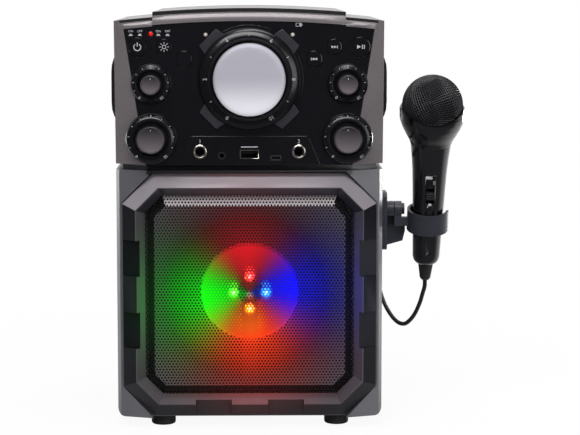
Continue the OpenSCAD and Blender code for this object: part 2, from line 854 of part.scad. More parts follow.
module indicator_lamps() {
    placed()
        for (i = [0:2]) {
            l = indicators[i];
            color(i == 0 ? "red" : "white")
                turned([[0, -0.9], [l[2] * 0.6, -0.7], [l[2], 0], [l[2], board_y], [0, board_y]],
                       l[0], l[1]);
        }
}

module control_board() {
    color("darkgreen") placed() difference() {
        face_block(rim - 2.5, board_y, board_y + board_t, upper_bottom + wall);
        translate([-52, 0, upper_bottom]) cube([104, 30, 21]);
    }
}

module button_switches() {
    color("darkslategray") placed()
        for (b = buttons) {
            translate([b[0] - 3, button_stem_end + button_travel + 0.8, b[1] - 3])
                cube([6, board_y - button_stem_end - button_travel - 0.8, 6]);
            ycyl(1.7, button_stem_end + button_travel + 0.3, board_y, b[0], b[1]);
        }
}

module potentiometers() {
    places = [[0, master_z], [-knob_x, echo_z], [knob_x, echo_z], [-knob_x, volume_z], [knob_x, volume_z]];
    color("slategray") placed()
        for (p = places)
            difference() {
                union() {
                    translate([p[0] - pot_half, 7, p[1] - pot_half])
                        cube([2 * pot_half, board_y - 7, 2 * pot_half]);
                    ycyl(stem_r + 2, panel_t + 0.5, 8, p[0], p[1]);
                }
                ycyl(stem_r + running, 0, board_y - 2, p[0], p[1]);
            }
}

module jack_board() {
    color("darkgreen") placed()
        translate([-48, panel_t + jack_depth, upper_bottom + wall])
            cube([96, board_t, 16]);
}

module mic_jacks() {
    color([0.1, 0.1, 0.1]) placed()
        for (s = [-1, 1])
            difference() {
                union() {
                    translate([s * mic_jack_x - jack_hw, panel_t, jack_z - jack_hw])
                        cube([2 * jack_hw, jack_depth, 2 * jack_hw]);
                    ycyl(4, -plate_proud - 1, panel_t + 1, s * mic_jack_x, jack_z);
                }
                ycyl(mic_bore_r, -plate_proud - 2, panel_t + jack_depth - 3, s * mic_jack_x, jack_z);
            }
}

module mic_jack_nuts() {
    color("silver") placed()
        for (s = [-1, 1])
            translate([s * mic_jack_x, 0, jack_z]) difference() {
                turned([[4 + running, -plate_proud], [4 + running, -1.7], [4.5, -2],
                        [5.1, -1.8], [5.45, -1.3], [5.45, -plate_proud]]);
            }
}

module aux_jack() {
    color([0.1, 0.1, 0.1]) placed() difference() {
        union() {
            translate([aux_x - 4, panel_t, aux_z - 4]) cube([8, jack_depth, 8]);
            ycyl(3, -1, panel_t + 1, aux_x, aux_z);
        }
        ycyl(aux_bore_r, -2, panel_t + 14, aux_x, aux_z);
    }
}

module data_port() {
    color("silver") placed() {
        difference() {
            translate([-7.25, -0.9, aux_z - 2.4]) cube([14.5, panel_t + jack_depth + 0.9, 6.8]);
            translate([-6.6, -2, aux_z - 1.8]) cube([13.2, 18, 5.6]);
        }
        translate([-5.8, 4.4, aux_z + 1]) cube([11.6, 11.8, 1.9]);
    }
}

module charging_port() {
    x = charge_x;
    color("silver") placed() {
        difference() {
            slab([[x - 2.9, aux_z - 3.4], [x + 2.9, aux_z - 3.4], [x + 4, aux_z - 2],
                  [x + 4, aux_z], [x - 4, aux_z], [x - 4, aux_z - 2]], -0.8, panel_t + jack_depth);
            slab([[x - 2.6, aux_z - 2.9], [x + 2.6, aux_z - 2.9], [x + 3.5, aux_z - 1.8],
                  [x + 3.5, aux_z - 0.5], [x - 3.5, aux_z - 0.5], [x - 3.5, aux_z - 1.8]], -2, 5.5);
        }
        translate([x - 1.9, 1.5, aux_z - 1.9]) cube([3.8, 4.1, 0.6]);
    }
}

module main_board() {
    color("darkgreen") placed() {
        translate([-48, 60, foot_h + wall + 30]) cube([96, 80, board_t]);
        for (x = [-44, 38])
            for (y = [64, 130])
                translate([x, y, foot_h + wall]) cube([6, 6, 30]);
        translate([-20, 80, foot_h + wall + 30 + board_t]) cube([40, 30, 10]);
    }
}

module battery_pack() {
    color("royalblue") placed() {
        translate([-38, 85, foot_h + wall]) cube([76, 40, 20]);
    }
}

module feet() {
    color(gloss_black) placed()
        for (s = [-1, 1])
            for (y = foot_y)
                translate([s * foot_x, y, 0])
                    rotate_extrude()
                        polygon([[0, 0], [foot_r - 1.6, 0], [foot_r - 0.5, 0.5], [foot_r, 1.6],
                                 [foot_r, foot_h], [3, foot_h],
                                 [3, foot_h + wall + 1], [0, foot_h + wall + 1]]);
}

module holder_base() {
    color(charcoal) placed() difference() {
        union() {
            translate([hw, 0, 0]) rotate([90, 0, 90])
                linear_extrude(holder_t)
                    polygon([for (c = [[52, 177, 0], [32, 177, 90], [32, 140, 180], [52, 140, 270]])
                             for (a = [0:15:90]) [c[0] + 4 * cos(c[2] + a), c[1] + 4 * sin(c[2] + a)]]);
            translate([hw, pin_y - 5, pin_z - 5]) cube([ear_x - hw, 10, 10]);
            translate([hw, pin_y, pin_z]) rotate([0, 90, 0]) cylinder(r = 6, h = ear_x - hw);
            slab([[hw, mic_z + 2.5], [hw + 14, mic_z + 2.5], [hw + 20, mic_z - 3],
                  [hw + 20, mic_z - 10], [hw + 18, mic_z - 18], [hw, mic_z - 23]],
                 pin_y + 7.4, pin_y + 11.4);
        }
        translate([hw + 0.5, pin_y, pin_z]) rotate([0, 90, 0]) cylinder(r = pin_r + running, h = 30);
    }
}

module holder_pin() {
    color("silver") placed()
        translate([hw + 0.8, pin_y, pin_z]) rotate([0, 90, 0]) {
            cylinder(r = pin_r, h = hub_end_x + 0.3 - hw - 0.8 + eps);
            translate([0, 0, hub_end_x + 0.3 - hw - 0.8]) cylinder(r = 4.4, h = 1.9);
        }
}

// A taper that follows the microphone's body, with a clearance
module body_taper(gap) {
    slope = (body_r_clip - body_r_end) / (body_low - 6);
    r_at = body_r_clip + gap;
    in_mic() translate([0, 0, -40])
        cylinder(r1 = r_at - 40 * slope, r2 = r_at + 40 * slope, h = 80);
}

module clip_ring() {
    color(charcoal) placed() {
        in_mic() rotate([0, 0, 38])
            rotate_extrude(angle = 314)
                translate([clip_r - clip_t, -clip_h / 2]) square([clip_t, clip_h]);
        difference() {
            in_mic() {
                for (a = [100, 190, 300])
                    rotate([0, 0, a])
                        translate([body_r_end - 1, -1.5, -clip_h / 2 + 2])
                            cube([clip_r - clip_t - body_r_end + 1.5, 3, clip_h - 4]);
            }
            body_taper(seat_gap);
        }
        difference() {
            union() {
                translate([hub_x, pin_y, pin_z]) rotate([0, 90, 0]) cylinder(r = 6, h = hub_end_x - hub_x);
                translate([hub_x, pin_y - 3.5, pin_z - 11])
                    cube([hub_end_x - hub_x, 7, 11]);
                translate([hub_x, pin_y - 3.5, pin_z - 13.5])
                    cube([mic_x - clip_r - hub_x + 1.2, 7, 7]);
            }
            translate([hub_x - 1, pin_y, pin_z]) rotate([0, 90, 0]) cylinder(r = pin_r + running, h = 20);
            in_mic() cylinder(r = clip_r - clip_t + 0.1, h = 60, center = true);
        }
    }
}

// The body's outline: radius and height along the axis
body_profile = [
    [0, -body_low], [6.4, -body_low], [8.6, -body_low + 1], [10, -body_low + 3],
    [body_r_end, -body_low + 6], [body_r_clip, 0], [12.9, 27.8], [13.6, 42], [14.7, 55],
    [body_r_top, body_high], [0, body_high]];

module mic_body() {
    color(gloss_black) placed() in_mic() difference() {
        union() {
            rotate_extrude() polygon(body_profile);
            intersection() {
                translate([0, -13.9, 0]) rotate([90, 0, 0]) linear_extrude(2, center = true)
                    polygon([for (c = [[3.5, 37, 0], [-3.5, 37, 90], [-3.5, 12.5, 180], [3.5, 12.5, 270]])
                             for (a = [0:15:90]) [c[0] + 4 * cos(c[2] + a), c[1] + 4 * sin(c[2] + a)]]);
                cylinder(r = 14.3, h = 60);
            }
        }
        translate([0, 0, -body_low + mic_wall + 3]) cylinder(r = body_r_end - mic_wall - 0.6, h = 200);
        translate([0, 0, -body_low - 1]) cylinder(r = 3, h = 12);
        translate([-3.2, -20, switch_s - 6.2]) cube([6.4, 16, 12.4]);
        translate([0, 0, body_high - 4]) cylinder(r = body_r_top - 1.9, h = 10);
        translate([0, -8.6, -24.5]) rotate([90, 0, 0]) cylinder(r = 1.25, h = 10);
    }
}

module mic_switch() {
    color([0.1, 0.1, 0.1]) placed() in_mic() {
        translate([-3.1, -15.5, switch_s - 4 + switch_travel / 2]) cube([6.2, 4.5, 6]);
        for (z = [0.8, 2.6, 4.4])
            translate([-3.1, -16, switch_s - 4 + switch_travel / 2 + z]) cube([6.2, 0.6, 0.8]);
    }
}

module mic_screw() {
    color("gray") placed() in_mic()
        translate([0, -8.6, -24.5]) rotate([90, 0, 0]) difference() {
            cylinder(r = 1.2, h = 2.4);
            translate([-1.5, -0.2, 2]) cube([3, 0.4, 1]);
        }
}

// The collar carries the ball and the capsule; its rim dips at the front and at the back
module mic_collar() {
    color(gloss_black) placed() in_mic() difference() {
        rotate_extrude()
            polygon([[12, body_high - 4], [body_r_top - 1.9, body_high - 4],
                     [body_r_top - 1.9, body_high],
                     [body_r_top + 0.2, body_high], [body_r_top + 1.5, body_high + 3.5],
                     [body_r_top + 4.6, body_high + 9], [cup_r - 2, cup_s - 7],
                     [cup_r - 0.3, cup_s - 2], [cup_r, cup_s], [cup_r + 0.2, cup_s + 6.5],
                     [cup_r - 0.4, cup_s + 8], [ball_r + 0.3, cup_s + 8],
                     [ball_r + 0.3, cup_s + 0.8], [ball_r - 1.4, cup_s + 0.8],
                     [ball_r - 1.4, cup_s], [18, cup_s], [17.4, capsule_s], [12, capsule_s]]);
        translate([0, 0, cup_s + 0.8 + rim_dip_r]) rotate([90, 0, 0])
            cylinder(r = rim_dip_r, h = 80, center = true);
    }
}

module mic_grille() {
    color([0.12, 0.12, 0.12]) placed() in_mic() difference() {
        translate([0, 0, ball_s]) sphere(r = ball_r);
        translate([0, 0, ball_s]) sphere(r = ball_r - 1);
        translate([0, 0, cup_s - 100]) cube([100, 100, 200], center = true);
    }
}

// A foam lining inside the ball
module mic_foam() {
    color([0.05, 0.05, 0.05]) placed() in_mic() difference() {
        translate([0, 0, ball_s]) sphere(r = ball_r - 1.2);
        translate([0, 0, ball_s]) sphere(r = ball_r - 3.6);
        translate([0, 0, cup_s - 100]) cube([100, 100, 200], center = true);
    }
}

module mic_capsule() {
    color("silver") placed() in_mic()
        rotate_extrude()
            polygon([[0, capsule_s - 10], [9, capsule_s - 10], [9, capsule_s], [17, capsule_s],
                     [17, capsule_s + 1.2], [12, capsule_s + 1.2], [12, capsule_s + 13],
                     [10.5, capsule_s + 14.5], [0, capsule_s + 14.5]]);
}

module mic_strain_relief() {
    color([0.07, 0.07, 0.07]) placed() in_mic()
        rotate_extrude()
            polygon([[0, -relief_end], [3.3, -relief_end], [4.3, -relief_end + 1.6],
                     [6.1, -body_low], [2.9, -body_low], [2.9, -body_low + 6], [0, -body_low + 6]]);
}

// Points along a smooth curve through a route
function between(a, b, c, d, t) = 0.5 * (2 * b + (c - a) * t + (2 * a - 5 * b + 4 * c - d) * t * t
    + (3 * b - a - 3 * c + d) * t * t * t);

function smooth(route, steps) =
    let (n = len(route))
    concat(
        [for (i = [0:n - 2]) for (k = [0:steps - 1])
            between(i == 0 ? 2 * route[0] - route[1] : route[i - 1], route[i], route[i + 1],
                    i == n - 2 ? 2 * route[n - 1] - route[n - 2] : route[i + 2], k / steps)],
        [route[n - 1]]);

function unit(v) = v / norm(v);

function tangent(path, i) = unit(path[min(i + 1, len(path) - 1)] - path[max(i - 1, 0)]);

// Directions across a path that turn with it and never twist
function sides_of(path) =
    let (first = unit(cross(tangent(path, 0), [0.31, 0.17, 0.93])))
    [for (i = 0, v = first; i < len(path);
          i = i + 1,
          t = tangent(path, min(i, len(path) - 1)),
          v = unit(v - t * (v * t))) v];

// A tube along part of a path
module tube(path, r, sides, first = 0, last = undef) {
    end = is_undef(last) ? len(path) - 1 : last;
    rings = end - first;
    across = sides_of(path);
    points = [
        for (i = [first:end])
            let (t = tangent(path, i), u = unit(across[i] - t * (across[i] * t)), w = cross(t, u))
            for (k = [0:sides - 1])
                path[i] + r * (cos(360 * k / sides) * u + sin(360 * k / sides) * w)];
    faces = concat(
        [[for (k = [0:sides - 1]) k]],
        [for (i = [0:rings - 1]) for (k = [0:sides - 1])
            [i * sides + k, (i + 1) * sides + (k + 1) % sides, i * sides + (k + 1) % sides]],
        [for (i = [0:rings - 1]) for (k = [0:sides - 1])
            [i * sides + k, (i + 1) * sides + k, (i + 1) * sides + (k + 1) % sides]],
        [[for (k = [sides - 1:-1:0]) rings * sides + k]]);
    polyhedron(points, faces);
}

route_path = concat([cord_exit], smooth(cord_route, route_steps), [coil_in]);

module cord_drop() {
    color("black") placed()
        tube(route_path, cord_r, 8, 0, drop_last * route_steps + 1);
}

module cord_run() {
    color("black") placed()
        tube(route_path, cord_r, 8, drop_last * route_steps + 1);
}

// The coil winds in and out in layers, from the top layer down, clockwise from above

function coil_radius(t) =
    let (layer = floor(t / turns_per_layer), part = t - layer * turns_per_layer)
    layer % 2 == 0 ? coil_out_r - part * turn_pitch
                   : coil_out_r - (turns_per_layer - part) * turn_pitch;

function coil_layer(t) =
    let (turn = round(t / turns_per_layer), off = t - turn * turns_per_layer)
    turn > 0 && turn < coil_layers && abs(off) < 0.25 ? turn - 0.5 + 2 * off
                                                      : floor(t / turns_per_layer);

function coil_point(t) =
    let (a = 180 - 360 * t, r = coil_radius(t))
    [coil_x + r * cos(a), coil_y + r * sin(a),
     coil_low_z + (coil_layers - 1 - coil_layer(t)) * turn_pitch];

coil_path = concat(
    [coil_in],
    [for (i = [0:coil_turns * rings_per_turn]) coil_point(i / rings_per_turn)],
    [coil_out]);

module cord_coil() {
    half = rings_per_turn / 2;
    gap = min([
        for (i = [0:2:len(coil_path) - 1 - half])
            min([for (j = [i + half:len(coil_path) - 1]) norm(coil_path[i] - coil_path[j])])]) - cord_d;
    echo(least_gap_between_turns = gap);
    color("black") placed() tube(coil_path, cord_r, 6);
}

module cord_tail() {
    color("black") placed()
        tube(concat([coil_out], smooth(tail_route, 3), [[plug_x, plug_y, plug_r]]), cord_r, 8);
}

module cord_tie() {
    inner = coil_mean_r - turns_per_layer * turn_pitch / 2 - cord_r - 0.4;
    outer = coil_out_r + cord_r + 0.4;
    high = coil_low_z + (coil_layers - 1) * turn_pitch + cord_r + 0.4;
    color([0.15, 0.15, 0.15]) placed() difference() {
        translate([coil_x - 3, coil_y + inner - 0.7, 0])
            cube([6, outer - inner + 1.4, high + 0.6]);
        translate([coil_x - 4, coil_y + inner, 0.45])
            cube([8, outer - inner, high - 0.45]);
    }
}

module mic_plug() {
    color("silver") placed()
        translate([plug_x, plug_y, plug_r]) rotate([0, -90, 0])
            rotate_extrude()
                polygon([[0, 0], [2.3, 0], [3.4, 6], [4.6, 8], [plug_r, 9.5], [plug_r, 32],
                         [plug_r - 1.2, 34], [4.2, 34], [4.2, 36], [3.17, 36], [3.17, 60],
                         [2, 62], [2, 63], [3, 64.5], [2.6, 66.2], [0.8, 67.5], [0, 67.5]]);
}

lower_case();
upper_case();
top_cover();
rear_cover();
rear_screws();
front_frame();
grille();
baffle();
speaker_basket();
speaker_cone();
speaker_magnet();
driver_screws();
light_bracket();
lamp_board();
coloured_lamps();
console_panel();
side_grips();
master_collar();
knob_collars();
master_knob();
echo_knob();
balance_knob();
mic1_knob();
mic2_knob();
power_button();
lights_button();
source_button();
previous_button();
next_button();
play_button();
indicator_lamps();
control_board();
button_switches();
potentiometers();
jack_board();
mic_jacks();
mic_jack_nuts();
aux_jack();
data_port();
charging_port();
main_board();
battery_pack();
feet();
holder_base();
holder_pin();
clip_ring();
mic_body();
mic_collar();
mic_grille();
mic_foam();
mic_capsule();
mic_switch();
mic_strain_relief();
mic_screw();
cord_drop();
cord_run();
cord_coil();
cord_tail();
cord_tie();
mic_plug();
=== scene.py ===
import json
from math import cos, floor, pi, radians, sin, sqrt, tan

import bmesh
import bpy
from mathutils import Matrix, Vector


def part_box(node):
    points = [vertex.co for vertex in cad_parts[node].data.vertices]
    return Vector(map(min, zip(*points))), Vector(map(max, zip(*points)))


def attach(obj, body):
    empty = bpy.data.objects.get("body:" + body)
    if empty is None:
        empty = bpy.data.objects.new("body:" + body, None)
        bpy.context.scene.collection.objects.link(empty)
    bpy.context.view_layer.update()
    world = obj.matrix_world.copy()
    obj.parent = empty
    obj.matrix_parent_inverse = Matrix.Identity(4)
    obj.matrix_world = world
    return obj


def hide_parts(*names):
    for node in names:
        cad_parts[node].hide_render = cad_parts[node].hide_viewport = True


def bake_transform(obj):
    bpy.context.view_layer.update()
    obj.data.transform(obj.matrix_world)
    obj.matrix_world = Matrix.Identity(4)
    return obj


bl_info = {
    "name": "Karaoke machine finishes",
    "version": (1, 0, 0),
    "blender": (4, 5, 0),
    "location": "3D View > Sidebar > Karaoke",
    "description": "Gives the karaoke machine its surfaces, grille, cords and studio",
    "category": "Object",
}

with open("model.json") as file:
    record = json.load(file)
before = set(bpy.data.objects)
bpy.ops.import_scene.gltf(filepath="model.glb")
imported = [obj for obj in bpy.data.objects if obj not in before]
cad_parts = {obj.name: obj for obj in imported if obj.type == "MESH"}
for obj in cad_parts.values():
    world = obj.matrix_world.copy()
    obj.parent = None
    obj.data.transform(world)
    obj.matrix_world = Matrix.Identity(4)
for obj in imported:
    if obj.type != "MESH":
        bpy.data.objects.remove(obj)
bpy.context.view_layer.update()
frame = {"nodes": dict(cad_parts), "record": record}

MM = 0.001
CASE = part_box("lower_case")
MIDDLE_X = (CASE[0][0] + CASE[1][0]) / 2
CREST_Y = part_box("front_frame")[0][1]

# Places in millimetres: x from the middle, y from the crest of the frame, z from the floor
SPEAKER_Z = 106.0
LAMP_RING = 12.6
MASTER_Z = 271.2
# Each body's knob: node, x, z, radius, radius of its collar
SMALL_KNOBS = {
    "echo": ("echo_knob", -74.8, 267.4, 7.5, 15.6),
    "balance": ("balance_knob", 74.8, 267.4, 7.5, 15.6),
    "mic1_volume": ("mic1_knob", -74.8, 225.7, 10.5, 19.6),
    "mic2_volume": ("mic2_knob", 74.8, 225.7, 10.5, 19.6),
}
# Each body's button: x, z, radius
BUTTONS = {
    "power": (-84.9, 295.6, 7.1),
    "lights": (-64.6, 295.6, 6.0),
    "source": (-49.6, 286.4, 6.2),
    "previous": (49.6, 286.4, 6.2),
    "next": (64.6, 295.6, 6.0),
    "play": (84.9, 295.6, 7.5),
}
INDICATORS = ((-74.6, 305.5), (-33.0, 304.8), (33.0, 304.8))

# The octagon of the frame's crest: its middle, half width, half height, and how much its corners are cut
FRAME_Z = 103.7
CREST_W, CREST_H, CREST_CUT = 87.4, 84.0, 17.3

# The microphone: its lean back and to the side, the clip's middle, and the ball and its cup on the axis
LEAN, SIDE = radians(16), radians(0.6)
MIC_MATRIX = Matrix.Rotation(SIDE, 3, "Y") @ Matrix.Rotation(LEAN, 3, "X")
MIC_AXIS = MIC_MATRIX @ Vector((0, 0, 1))
MIC_PLACE = Vector((140.2, 42, 159))
BALL_S, BALL_R = 95.0, 23.5
CUP_S = 85.5


def at(x, y, z):
    """A place on the machine, in millimetres, as a point of the frame in metres."""
    return Vector((MIDDLE_X + x * MM, CREST_Y + y * MM, z * MM))


def on_mic(s):
    """A place on the microphone's axis, s millimetres from the middle of the clip."""
    return at(*(MIC_PLACE + MIC_MATRIX @ Vector((0, 0, s))))


def beyond_crest(x, z):
    """How far a place, x and z from the frame's middle, lies past the crest's sides, ends and cut corners."""
    return x - CREST_W, z - CREST_H, (x + z - (CREST_W + CREST_H - CREST_CUT)) / sqrt(2)


def hex_colour(text):
    """An sRGB hex value as a linear colour."""
    parts = [int(text[i : i + 2], 16) / 255 for i in (0, 2, 4)]
    return (*[p / 12.92 if p <= 0.04045 else ((p + 0.055) / 1.055) ** 2.4 for p in parts], 1.0)


def length(name, description, size):
    """A length that the user can change, given in millimetres."""
    return bpy.props.FloatProperty(name=name, description=description, default=size * MM, unit="LENGTH")


def shade(name, description, text):
    """A colour that the user can change, given as a hex value."""
    colour = {"subtype": "COLOR", "size": 4, "default": hex_colour(text)}
    return bpy.props.FloatVectorProperty(name=name, description=description, **colour)


class KaraokeSizes(bpy.types.PropertyGroup):
    """Sizes and colours that a user would change"""

    grille_pitch: length("Grille pitch", "Distance between the holes of the perforated sheet", 2.5)
    grille_hole: length("Grille hole", "Diameter of a hole in the perforated sheet", 1.65)
    wire: length("Wire", "Thickness of the wire of the microphone's ball", 0.8)
    edge: length("Edge", "Radius of the moulded edges", 0.35)
    cord: length("Cord", "Diameter of the microphone's cord", 3.4)
    paint: shade("Paint", "Colour of the sprayed upper case", "857e80")
    knob: shade("Knob", "Colour of the master knob", "e9e7ef")


def sizes():
    return bpy.context.scene.karaoke_sizes


def given(thing, **fields):
    """Sets fields of a Blender thing, and hands it back."""
    for name, value in fields.items():
        setattr(thing, name, value)
    return thing


# ---- shader nodes


def add(tree, kind, settings=None, **inputs):
    """Adds a node. settings are its own fields, and inputs go to sockets by name, or by number as i0."""
    made = given(tree.nodes.new("ShaderNode" + kind), **(settings or {}))
    for name, value in inputs.items():
        socket = made.inputs[int(name[1:])] if name[1:].isdigit() else made.inputs[name.replace("_", " ")]
        if isinstance(value, bpy.types.NodeSocket):
            tree.links.new(value, socket)
        else:
            socket.default_value = value
    return made


def begin(name):
    """A material with no nodes yet, its tree, and the Object coordinates."""
    material = bpy.data.materials.new(name)
    material.use_nodes = True
    material.node_tree.nodes.clear()
    tree = material.node_tree
    return material, tree, add(tree, "TexCoord").outputs["Object"]


def shaded(begun, base, grain, lit=None, **more):
    """The finished material, from its colour, roughness and bump, and its own light's colour and strength."""
    material, tree, _ = begun
    if lit:
        more.update(Emission_Color=lit[0], Emission_Strength=lit[1])
    shader = add(tree, "BsdfPrincipled", Base_Color=base, Roughness=grain[0], Normal=grain[1], **more)
    add(tree, "OutputMaterial", Surface=shader.outputs[0])
    return material


def number(tree, operation, value, other=0.0, clamp=False):
    made = add(tree, "Math", {"operation": operation, "use_clamp": clamp}, i0=value, i1=other)
    return made.outputs[0]


def mapped(tree, value, start, end, low=0.0, high=1.0, kind="LINEAR"):
    """A value taken from one span to another, and held at its ends."""
    span = {"i1": start, "i2": end, "i3": low, "i4": high}
    return add(tree, "MapRange", {"interpolation_type": kind}, i0=value, **span).outputs[0]


def mixed(tree, share, colour, other):
    """A mix of two colours, each a hex value, a colour or a socket."""
    pair = [hex_colour(each) if isinstance(each, str) else each for each in (colour, other)]
    return add(tree, "Mix", {"data_type": "RGBA"}, i0=share, i6=pair[0], i7=pair[1]).outputs[2]


def vector(tree, operation, value, other=(0, 0, 0), output=0):
    return add(tree, "VectorMath", {"operation": operation}, i0=value, i1=other).outputs[output]


def scaled(tree, value, factor):
    return add(tree, "VectorMath", {"operation": "SCALE"}, i0=value, Scale=factor).outputs[0]


def from_front(tree, place, x, z):
    """Coordinates from a place of the machine as seen from the front, and the distance from it."""
    centre = at(x, 0, z)
    local = add(tree, "Mapping", Vector=place, Location=(-centre.x, 0, -centre.z), Scale=(1, 0, 1)).outputs[0]
    return local, vector(tree, "LENGTH", local, output="Value")


def noise(tree, place, size, detail):
    return add(tree, "TexNoise", Vector=place, Scale=1 / (size * MM), Detail=detail).outputs[0]


def varied(tree, place, colour, other, size, detail=2.0):
    """A colour that drifts towards another one over cloudy patches of that size in millimetres."""
    return mixed(tree, mapped(tree, noise(tree, place, size, detail), 0.3, 0.7), colour, other)


def rough_grain(tree, place, rough, spread, size, depth):
    """Roughness and bump of a fine grain, its size and depth in millimetres, worn in patches of 28 mm."""
    grain, wear = noise(tree, place, size, 3.0), noise(tree, place, 28, 2.0)
    bump = add(tree, "Bump", Height=grain, Strength=0.6, Distance=depth * MM).outputs[0]
    return mapped(tree, number(tree, "ADD", grain, wear), 0.6, 1.4, rough - spread, rough + spread), bump


# ---- the lamps' light

# Each lamp: the way its beam leans in degrees, how narrow the beam is, how strong it is beyond the cone,
# its colour, its core's colour, its place
LAMPS = (
    (95, 3.8, 0.7, "d20818", "ff3424", (0.0, LAMP_RING)),
    (5, 5.0, 1.1, "0000ff", "20a0ff", (LAMP_RING, 0.0)),
    (275, 3.0, 1.5, "ff3800", "ffa010", (0.0, -LAMP_RING)),
    (188, 4.4, 1.1, "00ff00", "50ff20", (-LAMP_RING, 0.0)),
)
# Glows seen through the grille, each with its place and radius: a core and a white spot for each lamp,
# the hub between them, and the green one's light low on the cone
GLOWS = (
    *((core, spot, 6.5) for *_, core, spot in LAMPS),
    *(("b8a8a8", spot, 2.0) for *_, spot in LAMPS),
    ("8c7876", (0.0, -1.5), 4.5),
    ("004e00", (0.0, -24.0), 18.0),
)
CONE_R = 36.8
RAMP = 8.0  # Length of a colour ramp per metre of radius, so that the ramp spans 125 mm


def lamp_light(tree, place, steps, cores=0.0):
    """The colour that the four lamps throw on a surface, from steps of radius in mm and strength."""
    local, radius = from_front(tree, place, 0, SPEAKER_Z)
    outward = vector(tree, "NORMALIZE", local)
    beyond = mapped(tree, radius, (CONE_R - 0.3) * MM, (CONE_R + 0.3) * MM)
    total = None
    for lean, narrow, reach, colour, _, _ in LAMPS:
        way = (cos(radians(lean)), 0, sin(radians(lean)))
        facing = number(tree, "MAXIMUM", vector(tree, "DOT_PRODUCT", outward, way, "Value"))
        share = number(tree, "POWER", facing, narrow)
        share = number(tree, "MULTIPLY", share, mapped(tree, beyond, 0.0, 1.0, 1.0, reach))
        part = scaled(tree, hex_colour(colour)[:3], share)
        total = vector(tree, "ADD", total, part) if total else part
    ramp = add(tree, "ValToRGB", Fac=number(tree, "MULTIPLY", radius, RAMP))
    stops = ramp.color_ramp.elements
    while len(stops) < len(steps):
        stops.new(0.5)
    for stop, (r, strength) in zip(stops, steps):
        stop.position, stop.color = r * MM * RAMP, (strength, strength, strength, 1)
    total = scaled(tree, total, ramp.outputs[0])
    for core, (x, z), wide in GLOWS if cores else ():
        far = vector(tree, "DISTANCE", local, (x * MM, 0.0, z * MM), "Value")
        glow = mapped(tree, far, 0.0, wide * MM, cores, 0.0, "SMOOTHERSTEP")
        total = vector(tree, "ADD", total, scaled(tree, hex_colour(core)[:3], glow))
    return total


# ---- materials


def surface(name, colour, other, patch, grain, detail=2.0, steps=None, cores=0.0, strength=0.0, **more):
    """Any even surface: two colours and their patches, its grain, and the lamps' light if it's lit."""
    _, tree, place = begun = begin(name)
    base = varied(tree, place, colour, other, patch, detail)
    lit = (lamp_light(tree, place, steps, cores), strength) if steps else None
    return shaded(begun, base, rough_grain(tree, place, *grain), lit, **more)


def moulded(name, colour, other, rough, grain, depth, metallic=0.0):
    """Injection-moulded plastic with a spark-eroded grain."""
    return surface(name, colour, other, 34, (rough, 0.05, grain, depth), Metallic=metallic)


def case_plastic():
    """Grained charcoal ABS with a soft sheen; the narrow ledge over the frame lies in deep shade."""
    _, tree, place = begun = begin("abs_charcoal_grained")
    base = varied(tree, place, "5e5d63", "56555a", 34)
    local = add(tree, "Mapping", Vector=place, Location=(-MIDDLE_X, 0, 0)).outputs[0]
    across, back, high = add(tree, "SeparateXYZ", Vector=local).outputs
    inside = mapped(tree, number(tree, "ABSOLUTE", across), 80 * MM, 78 * MM)
    above = mapped(tree, high, 197.2 * MM, 197.6 * MM)
    front = mapped(tree, back, CREST_Y + 40 * MM, CREST_Y + 30 * MM)
    ledge = number(tree, "MULTIPLY", number(tree, "MULTIPLY", inside, above), front)
    grain = rough_grain(tree, place, 0.42, 0.05, 0.7, 0.04)
    return shaded(begun, mixed(tree, ledge, base, "131318"), grain, Coat_Weight=0.5, Coat_Roughness=0.3)


def sprayed_gunmetal():
    """Sprayed metallic lacquer on ABS: fine flakes sparkle in a soft, broad highlight."""
    _, tree, place = begun = begin("gunmetal_lacquer_sprayed")
    # Real flakes are about 0.05 mm across; drawn at 0.4 mm so that they show
    flake = add(tree, "TexVoronoi", Vector=place, Scale=1 / (0.4 * MM)).outputs["Color"]
    paint = varied(tree, place, tuple(sizes().paint), "7a7476", 60)
    base = scaled(tree, paint, mapped(tree, flake, 0.0, 1.0, 0.86, 1.12))
    grain = rough_grain(tree, place, 0.36, 0.04, 0.5, 0.012)
    return shaded(begun, base, grain, Metallic=0.3, Coat_Weight=0.25, Coat_Roughness=0.25)


def frame_plastic(name, colour, other, strength):
    """Moulded ABS of the frame: grey with a fine grain, with the lamps' light painted on near the grille."""
    steps = ((0, 0.1), (70, 0.1), (80, 0.08), (90, 0.045), (104, 0.01), (118, 0.0))
    grain = (0.4, 0.05, 0.6, 0.02)
    return surface(name, colour, other, 40, grain, steps=steps, strength=strength, Metallic=0.2)


def grille_steel(name, near, far, strength):
    """Perforated steel, powder coated black: a satin web with the lamps' colours painted on as light that it
    gives off.
    """
    _, tree, place = begun = begin(name)
    _, radius = from_front(tree, place, 0, SPEAKER_Z)
    # Painted shade and light: the web is drawn darker near the lamps, against their glare, and paler grey
    # further out
    base = mixed(tree, mapped(tree, radius, 58 * MM, 96 * MM), near, far)
    steps = ((0, 0.25), (17, 0.5), (36.6, 1.0), (37.1, 0.64), (42, 0.52), (52, 0.38), (66, 0.17), (98, 0.01))
    light = lamp_light(tree, place, steps, 0.9)
    grain = rough_grain(tree, place, 0.5, 0.06, 0.35, 0.02)
    return shaded(begun, base, grain, (light, strength), Metallic=0.15)


def lit_pulp():
    """Pressed paper pulp of the cone, flooded by the lamps in front of it."""
    steps = ((0, 0.3), (9, 0.3), (14, 0.8), (36, 1.0), (45, 0.6), (60, 0.05), (70, 0.0))
    lit = {"steps": steps, "cores": 1.2, "strength": 1.2}
    return surface("cone_paper_pulp", "1c1a19", "151413", 6, (0.8, 0.05, 1.1, 0.08), 4.0, **lit)


